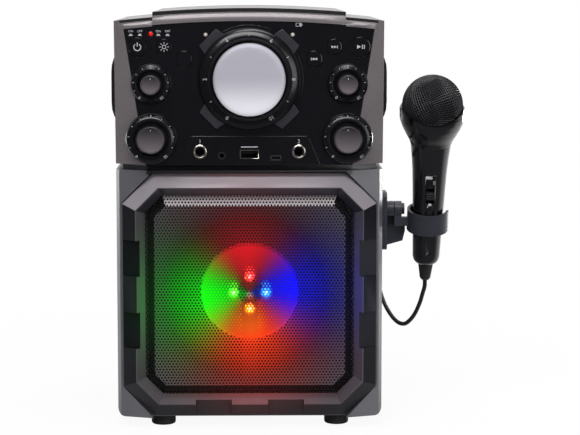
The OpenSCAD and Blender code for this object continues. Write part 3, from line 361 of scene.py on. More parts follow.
def lit_bracket():
    """Black ABS of the lamps' bracket, washed by the light that the cone throws back."""
    steps = ((0, 0.2), (14, 0.6), (36, 1.0), (38, 0.12), (60, 0.05), (76, 0.01), (90, 0.0))
    lit = {"steps": steps, "cores": 0.6, "strength": 1.0}
    return surface("bracket_abs_lit", "1c1c1e", "161618", 12, (0.5, 0.05, 0.8, 0.03), **lit)


def lamp_lens():
    """Clear cast lens over a lit lamp: a bright core in the lamp's colour."""
    lit = {"steps": ((0, 0.9), (10, 1.0), (20, 1.0), (40, 0.2)), "cores": 1.6, "strength": 2.0}
    return surface("lamp_lens_lit", "c8c8c8", "b4b4b8", 3, (0.15, 0.04, 1.5, 0.01), **lit)


def piano_black():
    """Gloss black ABS: polished mould, so deep black with clear soft-box reflections."""
    coat = {"Coat_Weight": 0.4, "Coat_Roughness": 0.06}
    return surface("abs_gloss_black", "0c0c0f", "101014", 50, (0.13, 0.03, 9.0, 0.01), **coat)


def satin_silver():
    """Sprayed satin silver on a moulded knob: soft sheen with faint turning rings, and painted shade that
    darkens it towards the top.
    """
    _, tree, place = begun = begin("silver_lacquer_satin_painted_shade")
    local, radius = from_front(tree, place, 0, MASTER_Z)
    # Real turning lines are about 0.1 mm apart; drawn 0.5 mm apart
    ring = number(tree, "SINE", number(tree, "MULTIPLY", radius, 2 * pi / (0.5 * MM)))
    bump = add(tree, "Bump", Height=ring, Strength=0.25, Distance=0.002 * MM).outputs[0]
    height = add(tree, "SeparateXYZ", Vector=local).outputs[2]
    # Painted shade: the knob is drawn paler at the bottom and darker towards the top
    painted_shade_above = mapped(tree, height, -26 * MM, 4 * MM, kind="SMOOTHSTEP")
    rough = mapped(tree, noise(tree, place, 5, 3.0), 0.3, 0.7, 0.36, 0.46)
    return shaded(begun, mixed(tree, painted_shade_above, tuple(sizes().knob), "adabb5"), (rough, bump))


def knob_face(name, x, z, r):
    """Soft-touch lacquer on a small knob, with painted shade: near black above, warm grey below."""
    _, tree, place = begun = begin(name)
    local, _ = from_front(tree, place, x, z)
    height = add(tree, "SeparateXYZ", Vector=local).outputs[2]
    # Painted shade: darker towards the top, warm grey towards the bottom
    base = mixed(tree, mapped(tree, height, -r * MM, r * MM), "71686d", "0e0e12")
    return shaded(begun, base, rough_grain(tree, place, 0.45, 0.05, 0.4, 0.01), Metallic=0.2)


def plated(name, colour, other, patch, *grain):
    """Plated metal: nickel is bright with fine turning lines, zinc pale grey with a mottled, dulled sheen."""
    return surface(name, colour, other, patch, grain, Metallic=1.0)


def laminate():
    """Glass-epoxy laminate under green solder mask: copper tracks show as faint paler lines."""
    _, tree, place = begun = begin("laminate_solder_mask")
    greens = {"i1": hex_colour("1c5a3a"), "i2": hex_colour("19502f"), "i3": hex_colour("2c7a4e")}
    tracks = add(tree, "TexBrick", Vector=place, Scale=1 / (9 * MM), **greens).outputs[0]
    return shaded(begun, tracks, rough_grain(tree, place, 0.35, 0.05, 1.2, 0.02))


def signal_lens(name, colour, dark, strength, places):
    """Diffusing acrylic of a signal lamp: bright over the chip and darker towards its rim."""
    _, tree, place = begun = begin(name)
    near = None
    for x, z in places:
        _, far = from_front(tree, place, x, z)
        near = number(tree, "MINIMUM", near, far) if near else far
    base = mixed(tree, mapped(tree, near, 0.6 * MM, 1.9 * MM, kind="SMOOTHSTEP"), colour, dark)
    return shaded(begun, base, rough_grain(tree, place, 0.2, 0.05, 0.6, 0.01), (base, strength))


MADE = {}
RECIPES = {
    "paint": (sprayed_gunmetal,),
    "case": (case_plastic,),
    # Matt, coarse charcoal at the back
    "cover": (moulded, "abs_charcoal_rear", "2a2a2d", "252528", 0.52, 0.9, 0.05),
    # The frame's grey, and copies of it with painted light, painted shade and painted shadow
    "frame": (frame_plastic, "frame_abs_grey", "545056", "4d494f", 1.3),
    "frame_light": (frame_plastic, "frame_abs_light", "9c969c", "938d92", 1.6),
    "frame_dark": (frame_plastic, "frame_abs_dark", "0c0d16", "0a0b12", 0.12),
    "frame_low": (frame_plastic, "frame_abs_low", "343236", "2e2d30", 0.35),
    "frame_painted_shadow": (frame_plastic, "frame_abs_shadow", "34323a", "302e36", 0.5),
    # The web, and copies of it with painted light for the top of its rim and painted shade for the rest of the
    # rim
    "grille": (grille_steel, "perforated_steel_powder_coated", "060607", "48444a", 1.0),
    "grille_painted_light": (grille_steel, "perforated_steel_lit_slope", "b4aeb2", "b8b2b4", 0.4),
    "grille_painted_shade": (grille_steel, "perforated_steel_dark_slope", "08080a", "0a0a0d", 0.12),
    "gloss": (piano_black,),
    # Polished less than the panel, so its highlights are soft
    "collar": (moulded, "abs_black_soft_gloss", "0c0c0f", "101014", 0.24, 6.0, 0.01),
    "lug": (moulded, "abs_charcoal_satin", "323237", "2c2c31", 0.34, 0.6, 0.02),
    "silver": (satin_silver,),
    "satin_black": (moulded, "abs_black_satin", "1d1d21", "19191c", 0.4, 0.8, 0.03),
    # Tough, slightly blue grey with a waxy sheen
    "clip": (moulded, "nylon_charcoal", "30313b", "2a2b34", 0.4, 0.8, 0.04),
    # Dull and soft-looking
    "rubber": (moulded, "rubber_moulded", "161618", "1a1a1c", 0.62, 1.2, 0.06),
    "nickel": (plated, "brass_nickel_plated", "d8d2c6", "c4beb2", 4, 0.22, 0.06, 0.5, 0.01),
    "steel": (plated, "steel_zinc_plated", "a4a6a8", "86888c", 3, 0.35, 0.08, 0.8, 0.02),
    "board": (laminate,),
    "pulp": (lit_pulp,),
    "lit_black": (lit_bracket,),
    "baffle": (moulded, "baffle_abs_black", "0e0e10", "121214", 0.7, 1.5, 0.06),
    # Pressed and fired: dead matt, sandy
    "ferrite": (moulded, "ferrite_sintered", "2b2a2b", "222122", 0.75, 0.6, 0.05),
    "lamp": (lamp_lens,),
    "red": (signal_lens, "acrylic_red_lit", "e01812", "3a0808", 0.5, INDICATORS[:1]),
    "white": (signal_lens, "acrylic_white_lit", "c8beb4", "5c5854", 0.1, INDICATORS[1:]),
    # Thin shrunk film with slack ripples
    "wrap": (moulded, "battery_wrap_shrunk", "20406a", "1c385e", 0.3, 3.0, 0.08),
    # Black lacquer with a little of the wire's metal in it
    "mesh": (moulded, "steel_wire_woven_black", "302e31", "28272a", 0.38, 0.5, 0.02, 0.3),
    # Open cells: no sheen at all
    "foam": (moulded, "foam_open_cell", "0c0c0d", "070708", 0.95, 0.9, 0.3),
    # Soft satin black with faint drawn ripples
    "cord": (moulded, "pvc_cord_extruded", "17171a", "111114", 0.42, 1.4, 0.03),
    # Screen-printed: a thin, even, slightly worn pale layer
    "ink": (surface, "ink_screen_printed", "c2c2c6", "aaaaae", 1.5, (0.6, 0.05, 0.3, 0.01)),
    # Dark carrier with a hint of brown where the contacts lie
    "contacts": (moulded, "contact_carrier_dark", "141416", "1b1712", 0.4, 1.5, 0.05),
}


def material_of(name):
    """The material of that name, made once. A material that is already made passes through."""
    if isinstance(name, bpy.types.Material):
        return name
    if name not in MADE:
        recipe, *values = RECIPES[name]
        MADE[name] = recipe(*values)
    return MADE[name]


# ---- meshes


def body_of(node):
    return next(body for body, nodes in frame["record"]["behaviour"]["bodies"].items() if node in nodes)


def outward(mesh):
    bmesh.ops.recalc_face_normals(mesh, faces=mesh.faces)


def merged(mesh, near):
    bmesh.ops.remove_doubles(mesh, verts=mesh.verts, dist=near)


def taken(data):
    """A bmesh from mesh data that isn't needed any more."""
    mesh = bmesh.new()
    mesh.from_mesh(data)
    bpy.data.meshes.remove(data)
    return mesh


def shift(mesh, made, step):
    """Moves the new vertices among what an operation made."""
    verts = [v for v in made["geom"] if isinstance(v, bmesh.types.BMVert)]
    bmesh.ops.translate(mesh, vec=step, verts=verts)


def make_piece(name, mesh, *materials, smooth=35):
    """A new object at the origin from a bmesh, shaded smooth but for its edges."""
    data = bpy.data.meshes.new(name)
    mesh.to_mesh(data)
    mesh.free()
    for material in materials:
        data.materials.append(material_of(material))
    piece = bpy.data.objects.new(name, data)
    bpy.context.scene.collection.objects.link(piece)
    data.shade_smooth()
    data.set_sharp_from_angle(angle=radians(smooth))
    return piece


def settled(piece, body, slot, *nodes):
    """Rides a piece on its body, in the place of the CAD nodes it stands for; its slot is not used."""
    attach(piece, body)
    if nodes:
        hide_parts(*nodes)
    return piece


def bevelled(piece, width, angle, harden):
    bevel = piece.modifiers.new("moulded_edges", "BEVEL")
    given(bevel, width=width, segments=2, harden_normals=harden)
    given(bevel, limit_method="ANGLE", angle_limit=radians(angle))


def finished(node, slot, *materials, edge=0.0, smooth=35, choose=None):
    """A merged copy of a CAD node with its edges rounded, which stands for the node.

    choose gives the number of a face's material, where the node has more than one.
    """
    mesh = bmesh.new()
    mesh.from_mesh(frame["nodes"][node].data)
    merged(mesh, 2e-6)
    bmesh.ops.dissolve_limit(mesh, angle_limit=radians(0.08), verts=mesh.verts, edges=mesh.edges)
    for face in mesh.faces:
        face.material_index = choose(face) if choose else 0
    piece = make_piece(node + "_finish", mesh, *materials, smooth=smooth)
    if edge:
        bevelled(piece, edge, 38, True)
    return settled(piece, body_of(node), slot, node)


def right_of(x):
    """Tells the faces whose middle lies right of x, in millimetres from the machine's middle."""
    edge = at(x, 0, 0).x
    return lambda face: face.calc_center_median().x >= edge


def front_rim(node):
    """Tells the faces that look forward at the very front of a node."""
    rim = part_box(node)[0][1] + 0.3 * MM
    return lambda face: face.normal.y < -0.8 and face.calc_center_median().y < rim


def kept(**names):
    """CAD nodes whose shape is right, each with the material of that name."""
    for node, name in names.items():
        data = frame["nodes"][node].data
        data.materials.clear()
        data.materials.append(material_of(name))


def lathe(profile, steps):
    """A turned shape about Y through the origin, from radius and y in millimetres, closed at its poles."""
    mesh = bmesh.new()
    corners = [mesh.verts.new((r * MM, y * MM, 0)) for r, y in profile]
    geom = corners + [mesh.edges.new(pair) for pair in zip(corners, corners[1:])]
    turn = {"cent": (0, 0, 0), "axis": (0, 1, 0), "angle": 2 * pi, "steps": steps}
    bmesh.ops.spin(mesh, geom=geom, use_merge=True, **turn)
    merged(mesh, 1e-6)
    outward(mesh)
    return mesh


def steps_from(r, *steps):
    """Points of a profile, each given as a step from radius r, and y."""
    return [(r + step, y) for step, y in steps]


def moved(mesh, place, turn=None):
    if turn is not None:
        bmesh.ops.transform(mesh, matrix=turn.to_4x4(), verts=mesh.verts)
    bmesh.ops.translate(mesh, vec=place, verts=mesh.verts)
    return mesh


def cut_off(mesh, place, way):
    """Cuts off what lies past a place, that way."""
    geom = mesh.verts[:] + mesh.edges[:] + mesh.faces[:]
    bmesh.ops.bisect_plane(mesh, geom=geom, plane_co=place, plane_no=way, clear_outer=True)


def printed(name, body, parts, y, slot="panel"):
    """A printed mark of flat outlines, given in machine x and z, a hair proud of y."""
    mesh = bmesh.new()
    for outline in parts:
        corners = [mesh.verts.new(at(x, y - 0.06, z)) for x, z in outline]
        made = bmesh.ops.extrude_face_region(mesh, geom=[mesh.faces.new(corners)])
        shift(mesh, made, (0, 0.05 * MM, 0))
    outward(mesh)
    bmesh.ops.triangulate(mesh, faces=mesh.faces)
    settled(make_piece(name, mesh, "ink"), body, slot)


def around(x, z, far, a):
    return x + far * cos(a), z + far * sin(a)


def box_mark(x, z, width, height, turn=0.0):
    c, s = cos(turn), sin(turn)
    w, h = width / 2, height / 2
    return [(x + u * c - v * s, z + u * s + v * c) for u, v in ((-w, -h), (w, -h), (w, h), (-w, h))]


def arc_mark(x, z, r, width, start, end, steps=14):
    angles = [radians(start + (end - start) * i / steps) for i in range(steps + 1)]
    outer = [around(x, z, r + width / 2, a) for a in angles]
    return outer + [around(x, z, r - width / 2, a) for a in reversed(angles)]


def numeral(name, text, x, z, height, y, turn=0.0):
    """Plain numbers, ON or OFF in the default typeface, cut out thin, on the cabinet's panel."""
    middle = {"align_x": "CENTER", "align_y": "CENTER"}
    curve = given(bpy.data.curves.new(name, "FONT"), body=text, size=height * MM * 1.38, **middle)
    given(curve, extrude=0.025 * MM, resolution_u=3)
    shape = bpy.data.objects.new(name, curve)
    bpy.context.scene.collection.objects.link(shape)
    bpy.context.view_layer.update()
    data = bpy.data.meshes.new_from_object(shape.evaluated_get(bpy.context.evaluated_depsgraph_get()))
    bpy.data.objects.remove(shape)
    mesh = taken(data)
    merged(mesh, 1e-7)
    stand = Matrix.Rotation(turn, 3, "Y") @ Matrix.Rotation(pi / 2, 3, "X")
    moved(mesh, at(x, y - 0.04, z), stand)
    settled(make_piece(name, mesh, "ink"), "cabinet", "panel")


# ---- cords


def between(a, b, c, d, t):
    return 0.5 * (2 * b + (c - a) * t + (2 * a - 5 * b + 4 * c - d) * t**2 + (3 * b - a - 3 * c + d) * t**3)


def smooth_route(route, steps):
    ends = [2 * route[0] - route[1], *route, 2 * route[-1] - route[-2]]
    points = [between(*ends[i : i + 4], k / steps) for i in range(len(route) - 1) for k in range(steps)]
    return [*points, route[-1]]


# The wound cord: four turns in each of four layers, out and in by turns
COIL = (35.0, 232.0)
COIL_OUTER, COIL_PITCH, COIL_LOW = 26.7, 3.85, 2.4
COIL_IN = Vector((8.3, 228.6, 13.95))
COIL_OUT = Vector((31.6, 206.2625, 2.4))
PLUG = Vector((4, 204, 6))
PLUG_SLEEVE = -31  # The x where the plug's bare metal ends and its sleeve begins
TURNS, PER_TURN = 15.75, 32


def coil_point(t):
    """A point of the winding after t turns; it changes layer within half a turn."""
    layer = floor(t / 4)
    part = t - layer * 4
    r = COIL_OUTER - (part if layer % 2 == 0 else 4 - part) * COIL_PITCH
    turn = round(t / 4)
    off = t - turn * 4
    level = turn - 0.5 + 2 * off if 0 < turn < 4 and abs(off) < 0.25 else layer
    a = radians(180 - 360 * t)
    return Vector((*around(*COIL, r, a), COIL_LOW + (3 - level) * COIL_PITCH))


CORD_EXIT = MIC_PLACE - 51.5 * MIC_AXIS
LOWEST = Vector((124.6, 78.5, 69.4))
ROUTE = [CORD_EXIT - 1.7 * MIC_AXIS, CORD_EXIT - 6.8 * MIC_AXIS] + [
    Vector(p)
    for p in (
        # Down from the microphone, and round its loop
        *((138, 60.6, 96), (136.2, 64, 88.5), (132.4, 69, 78.5), (128, 74, 72), LOWEST, (120, 84.5, 70)),
        # Up past the cabinet's side
        *((114.8, 93, 75), (109.6, 105, 84.5), (106.6, 120, 97), (105.9, 138, 116), (105.9, 158, 141)),
        *((105.8, 176, 165), (105.4, 187, 181), (103.4, 192.6, 192.5), (96.5, 195.4, 206), (84, 195.3, 222)),
        # Over the lip of the carrying grip
        *((70, 194.3, 239), (57, 192.8, 250.6), (46, 187, 253), (31, 181, 252.2), (17, 182, 252.2)),
        # Down the rear cover to the coil
        *((8.5, 187.5, 253.3), (3.8, 192.8, 250.6), (2.3, 195.4, 243), (2, 196, 230), (2, 196, 190)),
        *((2, 196, 145), (2, 196.3, 100), (2, 197.5, 62), (2.6, 201, 38), (4.5, 208.5, 22), (7.2, 218, 15)),
        *((8.3, 224.5, 14), (8.3, 226.9, 13.95)),
    )
]
TAIL = [COIL_OUT - Vector((1.7, 0, 0)), COIL_OUT - Vector((6.8, 0, 0))] + [
    Vector(p) for p in ((20, 205.4, 3.4), (13, 204.3, 5.2), (7.4, 204, 6))
]


def cord_tube(name, points):
    """A round jacket along points in millimetres, as a mesh, and its centreline in metres."""
    line = [at(*p) for p in points]
    curve = given(bpy.data.curves.new(name, "CURVE"), dimensions="3D", use_fill_caps=True)
    given(curve, bevel_depth=sizes().cord / 2, bevel_resolution=3)
    spline = curve.splines.new("POLY")
    spline.points.add(len(line) - 1)
    for point, place in zip(spline.points, line):
        point.co = (*place, 1)
    holder = bpy.data.objects.new(name + "_line", curve)
    data = bpy.data.meshes.new_from_object(holder)
    bpy.data.objects.remove(holder)
    mesh = taken(data)
    merged(mesh, 1e-7)
    outward(mesh)
    return make_piece(name, mesh, "cord", smooth=60), line


class KARAOKE_OT_cords(bpy.types.Operator):
    """The microphone's cord: down from the microphone, round behind the cabinet, and wound with its plug"""

    bl_idname = "karaoke.cords"
    bl_label = "Cords"

    def execute(self, context):
        whole = [CORD_EXIT, *smooth_route(ROUTE, 4), COIL_IN]
        last = next(i for i, p in enumerate(whole) if (p - LOWEST).length < 1e-4)
        drop, drop_line = cord_tube("cord_drop_jacket", whole[: last + 1])
        run, run_line = cord_tube("cord_run_jacket", whole[last:])
        turns = [coil_point(i / PER_TURN) for i in range(int(TURNS * PER_TURN) + 1)]
        wound = [COIL_IN, *turns, COIL_OUT, *smooth_route(TAIL, 3), PLUG]
        coil, coil_line = cord_tube("cord_coil_jacket", wound)
        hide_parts("cord_drop")
        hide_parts("cord_run")
        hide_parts("cord_coil", "cord_tail")
        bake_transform(drop)
        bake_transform(run)
        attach(coil, "cabinet")
        tie = finished("cord_tie", "black", "rubber", edge=0.15 * MM)
        plug = finished("mic_plug", "nickel", "nickel", "satin_black", choose=right_of(PLUG_SLEEVE))
        return {"FINISHED"}


# ---- the studio

# Each light: its place from the aim and its size in metres, and its power in watts
LIGHTS = {
    "key": ((-0.22, -1.3, 1.3), (1.5, 0.55), 21.0),
    "top": ((0.1, -0.1, 1.5), (1.3, 0.7), 14.0),
    "fill": ((1.2, -1.4, 0.2), (1.2, 0.9), 8.0),
    "rim_left": ((-0.9, 1.0, 0.0), (0.3, 0.3), 1.6),
    "rim_right": ((0.9, 1.0, 0.0), (0.3, 0.3), 6.0),
}
# The camera: its focal length and the picture's width in pixels, its sensor's width in mm, its place on the
# machine's scale, and the degrees it looks down and aside
FOCAL, PICTURE, SENSOR = 2100, 580, 36
CAMERA, DOWN, ASIDE = (0.55, -1600, 346), 6.45, -1.09


def pale_floor():
    """White paper that keeps the shadow; glossy rays see it white behind the object and dim in front."""
    mesh = bmesh.new()
    bmesh.ops.create_circle(mesh, cap_ends=True, segments=96, radius=0.95)
    moved(mesh, (0, 0.63, -0.0002))
    material, tree, place = begin("floor_paper_matt")
    paper = varied(tree, place, "f2f2f2", "eeeeee", 300)
    white = add(tree, "Emission", Color=(1, 1, 1, 1), Strength=1.0)
    path = add(tree, "LightPath").outputs
    away = add(tree, "SeparateXYZ", Vector=place).outputs[1]
    shiny = number(tree, "MULTIPLY", path["Is Glossy Ray"], mapped(tree, away, CREST_Y, CREST_Y + 0.2))
    seen = number(tree, "ADD", path["Is Camera Ray"], shiny)
    seen = number(tree, "ADD", seen, path["Is Transmission Ray"], clamp=True)
    share = number(tree, "MULTIPLY", seen, mapped(tree, away, 0.1, 0.7, 0.93, 1.0))
    dim = number(tree, "SUBTRACT", path["Is Glossy Ray"], shiny)
    matt = add(tree, "BsdfDiffuse", Color=mixed(tree, dim, paper, "6c6c6e"))
    both = add(tree, "MixShader", i0=share, i1=matt.outputs[0], i2=white.outputs[0])
    add(tree, "OutputMaterial", Surface=both.outputs[0])
    make_piece("floor", mesh, material)


def pale_room(scene):
    """White to the camera all round; pale behind the object and dim in front of it for the rest."""
    world = bpy.data.worlds.new("studio")
    scene.world = world
    world.use_nodes = True
    tree = world.node_tree
    tree.nodes.clear()
    way = add(tree, "SeparateXYZ", Vector=add(tree, "TexCoord").outputs["Generated"]).outputs[1]
    behind = mapped(tree, way, 0.1, 0.85, kind="SMOOTHSTEP")
    path = add(tree, "LightPath").outputs
    shiny = number(tree, "ADD", path["Is Glossy Ray"], path["Is Transmission Ray"], clamp=True)
    shiny = number(tree, "MULTIPLY", shiny, behind)
    seen = number(tree, "MAXIMUM", shiny, path["Is Camera Ray"])
    room = mixed(tree, path["Is Glossy Ray"], (0.28, 0.28, 0.29, 1), (0.07, 0.07, 0.08, 1))
    light = add(tree, "Background", Color=mixed(tree, seen, room, (1, 1, 1, 1)), Strength=1.0)
    add(tree, "OutputWorld", Surface=light.outputs[0])


class KARAOKE_OT_stage(bpy.types.Operator):
    """Camera, soft lights, pale floor, and a room that is pale behind the object"""

    bl_idname = "karaoke.stage"
    bl_label = "Stage"

    def execute(self, context):
        scene = context.scene
        scene.view_settings.view_transform = "Standard"
        lens = given(bpy.data.cameras.new("photo_camera"), sensor_width=SENSOR, clip_end=50)
        lens.lens = FOCAL * SENSOR / PICTURE
        camera = bpy.data.objects.new("photo_camera", lens)
        given(camera, location=at(*CAMERA), rotation_euler=(radians(90 - DOWN), 0, radians(ASIDE)))
        scene.collection.objects.link(camera)
        scene.camera = camera
        aim = at(10, 60, 160)
        for name, (place, size, power) in LIGHTS.items():
            light = given(bpy.data.lights.new(name, "AREA"), shape="RECTANGLE", energy=power)
            light.size, light.size_y = size
            turn = (-Vector(place)).to_track_quat("-Z", "Y").to_euler()
            lamp = given(bpy.data.objects.new(name, light), location=aim + Vector(place), rotation_euler=turn)
            scene.collection.objects.link(lamp)
        pale_floor()
        pale_room(scene)
        return {"FINISHED"}


# ---- the machine


class KARAOKE_OT_cabinet(bpy.types.Operator):
    """The two cases, hood, rear cover, grips, screws and feet"""

    bl_idname = "karaoke.cabinet"
    bl_label = "Cabinet"

    def execute(self, context):
        edge = sizes().edge
        finished("upper_case", "case", "paint", edge=edge)
        finished("lower_case", "case", "case", edge=edge)
        finished("top_cover", "cover", "paint", "satin_black", edge=edge, choose=lambda f: f.normal.y < -0.9)
        finished("rear_cover", "case", "cover", edge=edge)
        finished("side_grips", "case", "satin_black", edge=edge)
        finished("rear_screws", "steel", "steel")
        finished("feet", "rubber", "rubber", edge=edge)
        return {"FINISHED"}


# The frame's grey and its copies with painted light, painted shade and painted shadow
FRAME_PAINTED_TONES = ("frame", "frame_light", "frame_dark", "frame_low", "frame_painted_shadow")
# The grille's web and its copies with painted light and painted shade for its rim
GRILLE_PAINTED_TONES = ("grille", "grille_painted_light", "grille_painted_shade")
BAND_LOW = 170  # The height above which the frame's top band shades what is under it
GRILLE_COLUMNS, GRILLE_ROWS = 64, 82
# The pan: how far it lies behind the crest, how far its edge lies inside it, and its sheet's thickness
GRILLE_BACK, GRILLE_INSET, GRILLE_THICK = 4, 4.4, 0.5
# Its sloping rim: where it begins beyond the crest, how wide it is and how far back it goes
GRILLE_SLOPE, SLOPE_WIDE, SLOPE_DEEP = -13.8, 6.7, 7.2
LIT_X, LIT_Z = 67, 68  # The rim catches light nearer the middle than this x, and higher above it than this z


def frame_tone(face):
    """Painted light and shade on the frame: paler upper outer faces, dark outer sides and notches, darker lower
    outer faces, painted shadow under the top band.
    """
    c = face.calc_center_median()
    high = c.z / MM
    side, end, corner = beyond_crest(abs(c.x - MIDDLE_X) / MM, abs(high - FRAME_Z))
    out = max(side, end, corner)
    if out < 0:
        # Painted shadow on inner faces that look down under the top band; the frame's own grey on the other
        # inner faces
        name = "frame_painted_shadow" if high > BAND_LOW and face.normal.z < -0.2 else "frame"
    elif side >= out - 0.01 and corner < out - 0.01:
        # Painted shade on the outer sides and notches
        name = "frame_dark"
    else:
        # Painted light on the upper outer faces, painted shade on the lower ones
        name = "frame_light" if high > FRAME_Z else "frame_low"
    return FRAME_PAINTED_TONES.index(name)


def grille_sheet():
    """A hexagon with a hole, repeated, cut to the octagon, pressed back at its rim, thickened, and given
    painted light on the rim's top and painted shade on the rest of the rim.
    """
    pitch, hole = sizes().grille_pitch, sizes().grille_hole
    mesh = bmesh.new()
    for r in (pitch / sqrt(3), hole / 2):
        bmesh.ops.create_circle(mesh, segments=6, radius=r)
    bmesh.ops.bridge_loops(mesh, edges=mesh.edges[:])
    row = pitch * sqrt(3) / 2
    multiply(mesh, 1, GRILLE_COLUMNS, (pitch, 0, 0))
    repeat(mesh, 1.0, (pitch / 2, row, 0))
    multiply(mesh, 2, GRILLE_ROWS, (0, row, 0))
    merged(mesh, pitch / 50)
    centre = sum((v.co for v in mesh.verts), Vector()) / len(mesh.verts)
    moved(mesh, -centre)
    middle = at(0, GRILLE_BACK, FRAME_Z)
    moved(mesh, middle, Matrix.Rotation(pi / 2, 3, "X"))
    w, h = (CREST_W - GRILLE_INSET) * MM, (CREST_H - GRILLE_INSET) * MM
    d = (CREST_W + CREST_H - CREST_CUT) * MM / sqrt(2) - GRILLE_INSET * MM
    for x, z, far in [(1, 0, w), (-1, 0, w), (0, 1, h), (0, -1, h)] + [
        (a * sqrt(0.5), b * sqrt(0.5), d) for a in (1, -1) for b in (1, -1)
    ]:
        way = Vector((x, 0, z))
        cut_off(mesh, middle + way * far, way)
    for v in mesh.verts:
        out = max(beyond_crest(abs(v.co.x - middle.x) / MM, abs(v.co.z - middle.z) / MM))
        v.co.y += min(max((out - GRILLE_SLOPE) / SLOPE_WIDE, 0.0), 1.0) * SLOPE_DEEP * MM
    if sum(f.normal.y for f in mesh.faces) > 0:
        bmesh.ops.reverse_faces(mesh, faces=mesh.faces)
    bmesh.ops.solidify(mesh, geom=mesh.faces[:], thickness=GRILLE_THICK * MM)
    outward(mesh)
    # Painted light on the top of the pressed-back rim, painted shade on its sides and bottom
    for face in mesh.faces:
        c = face.calc_center_median()
        x, z = abs(c.x - middle.x) / MM, (c.z - middle.z) / MM
        out = max(beyond_crest(x, abs(z)))
        if out > GRILLE_SLOPE:
            top = z > LIT_Z and x < LIT_X and z - CREST_H > out - 0.1
            face.material_index = GRILLE_PAINTED_TONES.index("grille_painted_light" if top else "grille_painted_shade")
    settled(make_piece("grille_sheet", mesh, *GRILLE_PAINTED_TONES, smooth=30), "cabinet", "grille", "grille")


def multiply(mesh, count, total, step):
    """Copies count like parts until there are total of them, each one step from the last."""
    while count < total:
        more = min(count, total - count)
        repeat(mesh, more / count, [count * far for far in step])
        count += more


def repeat(mesh, share, step):
    """Copies the first share of the faces, which lie in the order they were made, by one step."""
    mesh.faces.ensure_lookup_table()
    faces = mesh.faces[: round(len(mesh.faces) * share)]
    edges, verts = ({part for f in faces for part in getattr(f, kind)} for kind in ("edges", "verts"))
    shift(mesh, bmesh.ops.duplicate(mesh, geom=faces + list(edges) + list(verts)), step)


class KARAOKE_OT_front(bpy.types.Operator):
    """The front frame and the perforated grille"""

    bl_idname = "karaoke.front"
    bl_label = "Front frame and grille"

    def execute(self, context):
        finished("front_frame", "frame", *FRAME_PAINTED_TONES, edge=sizes().edge, smooth=20, choose=frame_tone)
        grille_sheet()
        return {"FINISHED"}


class KARAOKE_OT_speaker(bpy.types.Operator):
    """The loudspeaker and the four coloured lamps in front of it"""

    bl_idname = "karaoke.speaker"
    bl_label = "Speaker and lamps"

    def execute(self, context):
        finished("speaker_cone", "cone", "pulp", smooth=50)
        finished("coloured_lamps", "lamp", "lamp", smooth=60)
        finished("light_bracket", "black", "lit_black", edge=0.2 * MM)
        kept(baffle="baffle", speaker_basket="steel", speaker_magnet="ferrite")
        kept(driver_screws="baffle", lamp_board="board")
        return {"FINISHED"}


# The master knob's radius, how far its mark lies inside it and is turned from the top, and its collar's section
MASTER_R, MARK_INSET, MARK_TURN = 27.4, 4.2, radians(47.7)
MASTER_WELL, MASTER_RIM = 29.4, 39.0
MASTER_COLLAR = (
    *steps_from(MASTER_WELL, (0, 0), (0, -4.2), (0.2, -5.5), (0.7, -6.4), (1.6, -6.9), (2.8, -7.0)),
    *((33.4, -6.7), (34.6, -6.3), (35.8, -5.8), (36.8, -5.25), (37.7, -4.5), (38.4, -3.5), (38.8, -2.3)),
    *((MASTER_RIM, -1.0), (MASTER_RIM, 0), (MASTER_WELL, 0)),
)
KNOB_HIGH = 14.0


def master_collar():
    """A soft, turned ring with four flat lugs."""
    mesh = lathe(MASTER_COLLAR, 144)
    for k in range(4):
        corners = [(-10.9, 36), (10.9, 36), (9, 44.8), (-9, 44.8)]
        front = [mesh.verts.new((x * MM, -2.2 * MM, z * MM)) for x, z in corners]
        back = [mesh.verts.new((x * MM, 0, z * MM)) for x, z in corners]
        sides = [(front[i], front[(i + 1) % 4], back[(i + 1) % 4], back[i]) for i in range(4)]
        for loop in (front, list(reversed(back)), *sides):
            mesh.faces.new(loop).material_index = 1
        turn = Matrix.Rotation(radians(45 + 90 * k), 3, "Y")
        for v in front + back:
            v.co = turn @ v.co
    outward(mesh)
    piece = make_piece("master_collar_ring", moved(mesh, at(0, 0, MASTER_Z)), "collar", "lug", smooth=40)
    bevelled(piece, 0.4 * MM, 60, False)
    settled(piece, "cabinet", "collar", "master_collar")


def small_collars():
    """The small knobs' four collars, as one piece."""
    rings = bmesh.new()
    for _, x, z, r, outer in SMALL_KNOBS.values():
        inner = r + 2
        well = steps_from(inner, (0, 2.5), (0, -3.4), (0.15, -4.0), (0.6, -4.6), (1.3, -5.0), (2.2, -5.2))
        crest = steps_from(outer, (-3.2, -4.65), (-2.1, -4.0), (-1.2, -3.2), (-0.6, -2.3), (-0.2, -1.2))
        skirt = steps_from(outer, (0, 0), (0, 11.5), (-1, 11.5), (-1, 2.5))
        ring = moved(lathe([*well, *crest, *skirt, (inner, 2.5)], 96), at(x, 0, z))
        data = bpy.data.meshes.new("collar_ring")
        ring.to_mesh(data)
        ring.free()
        rings.from_mesh(data)
        bpy.data.meshes.remove(data)
    settled(make_piece("knob_collar_rings", rings, "collar", smooth=40), "cabinet", "collar", "knob_collars")


def knob_shell(name, face, x, z, skirt, top, steps, material):
    """A turned knob: its face and skirt, the hollow under them down to top, and the stem it turns on."""
    stem = [(4.5, top), (4.5, -1.2), (3, -1.2), (3, 11), (0, 11)]
    mesh = lathe([*face, (skirt, -1.2), (skirt - 2, -1.2), (skirt - 2, top), *stem], steps)
    return make_piece(name, moved(mesh, at(x, 0, z)), material, smooth=30)


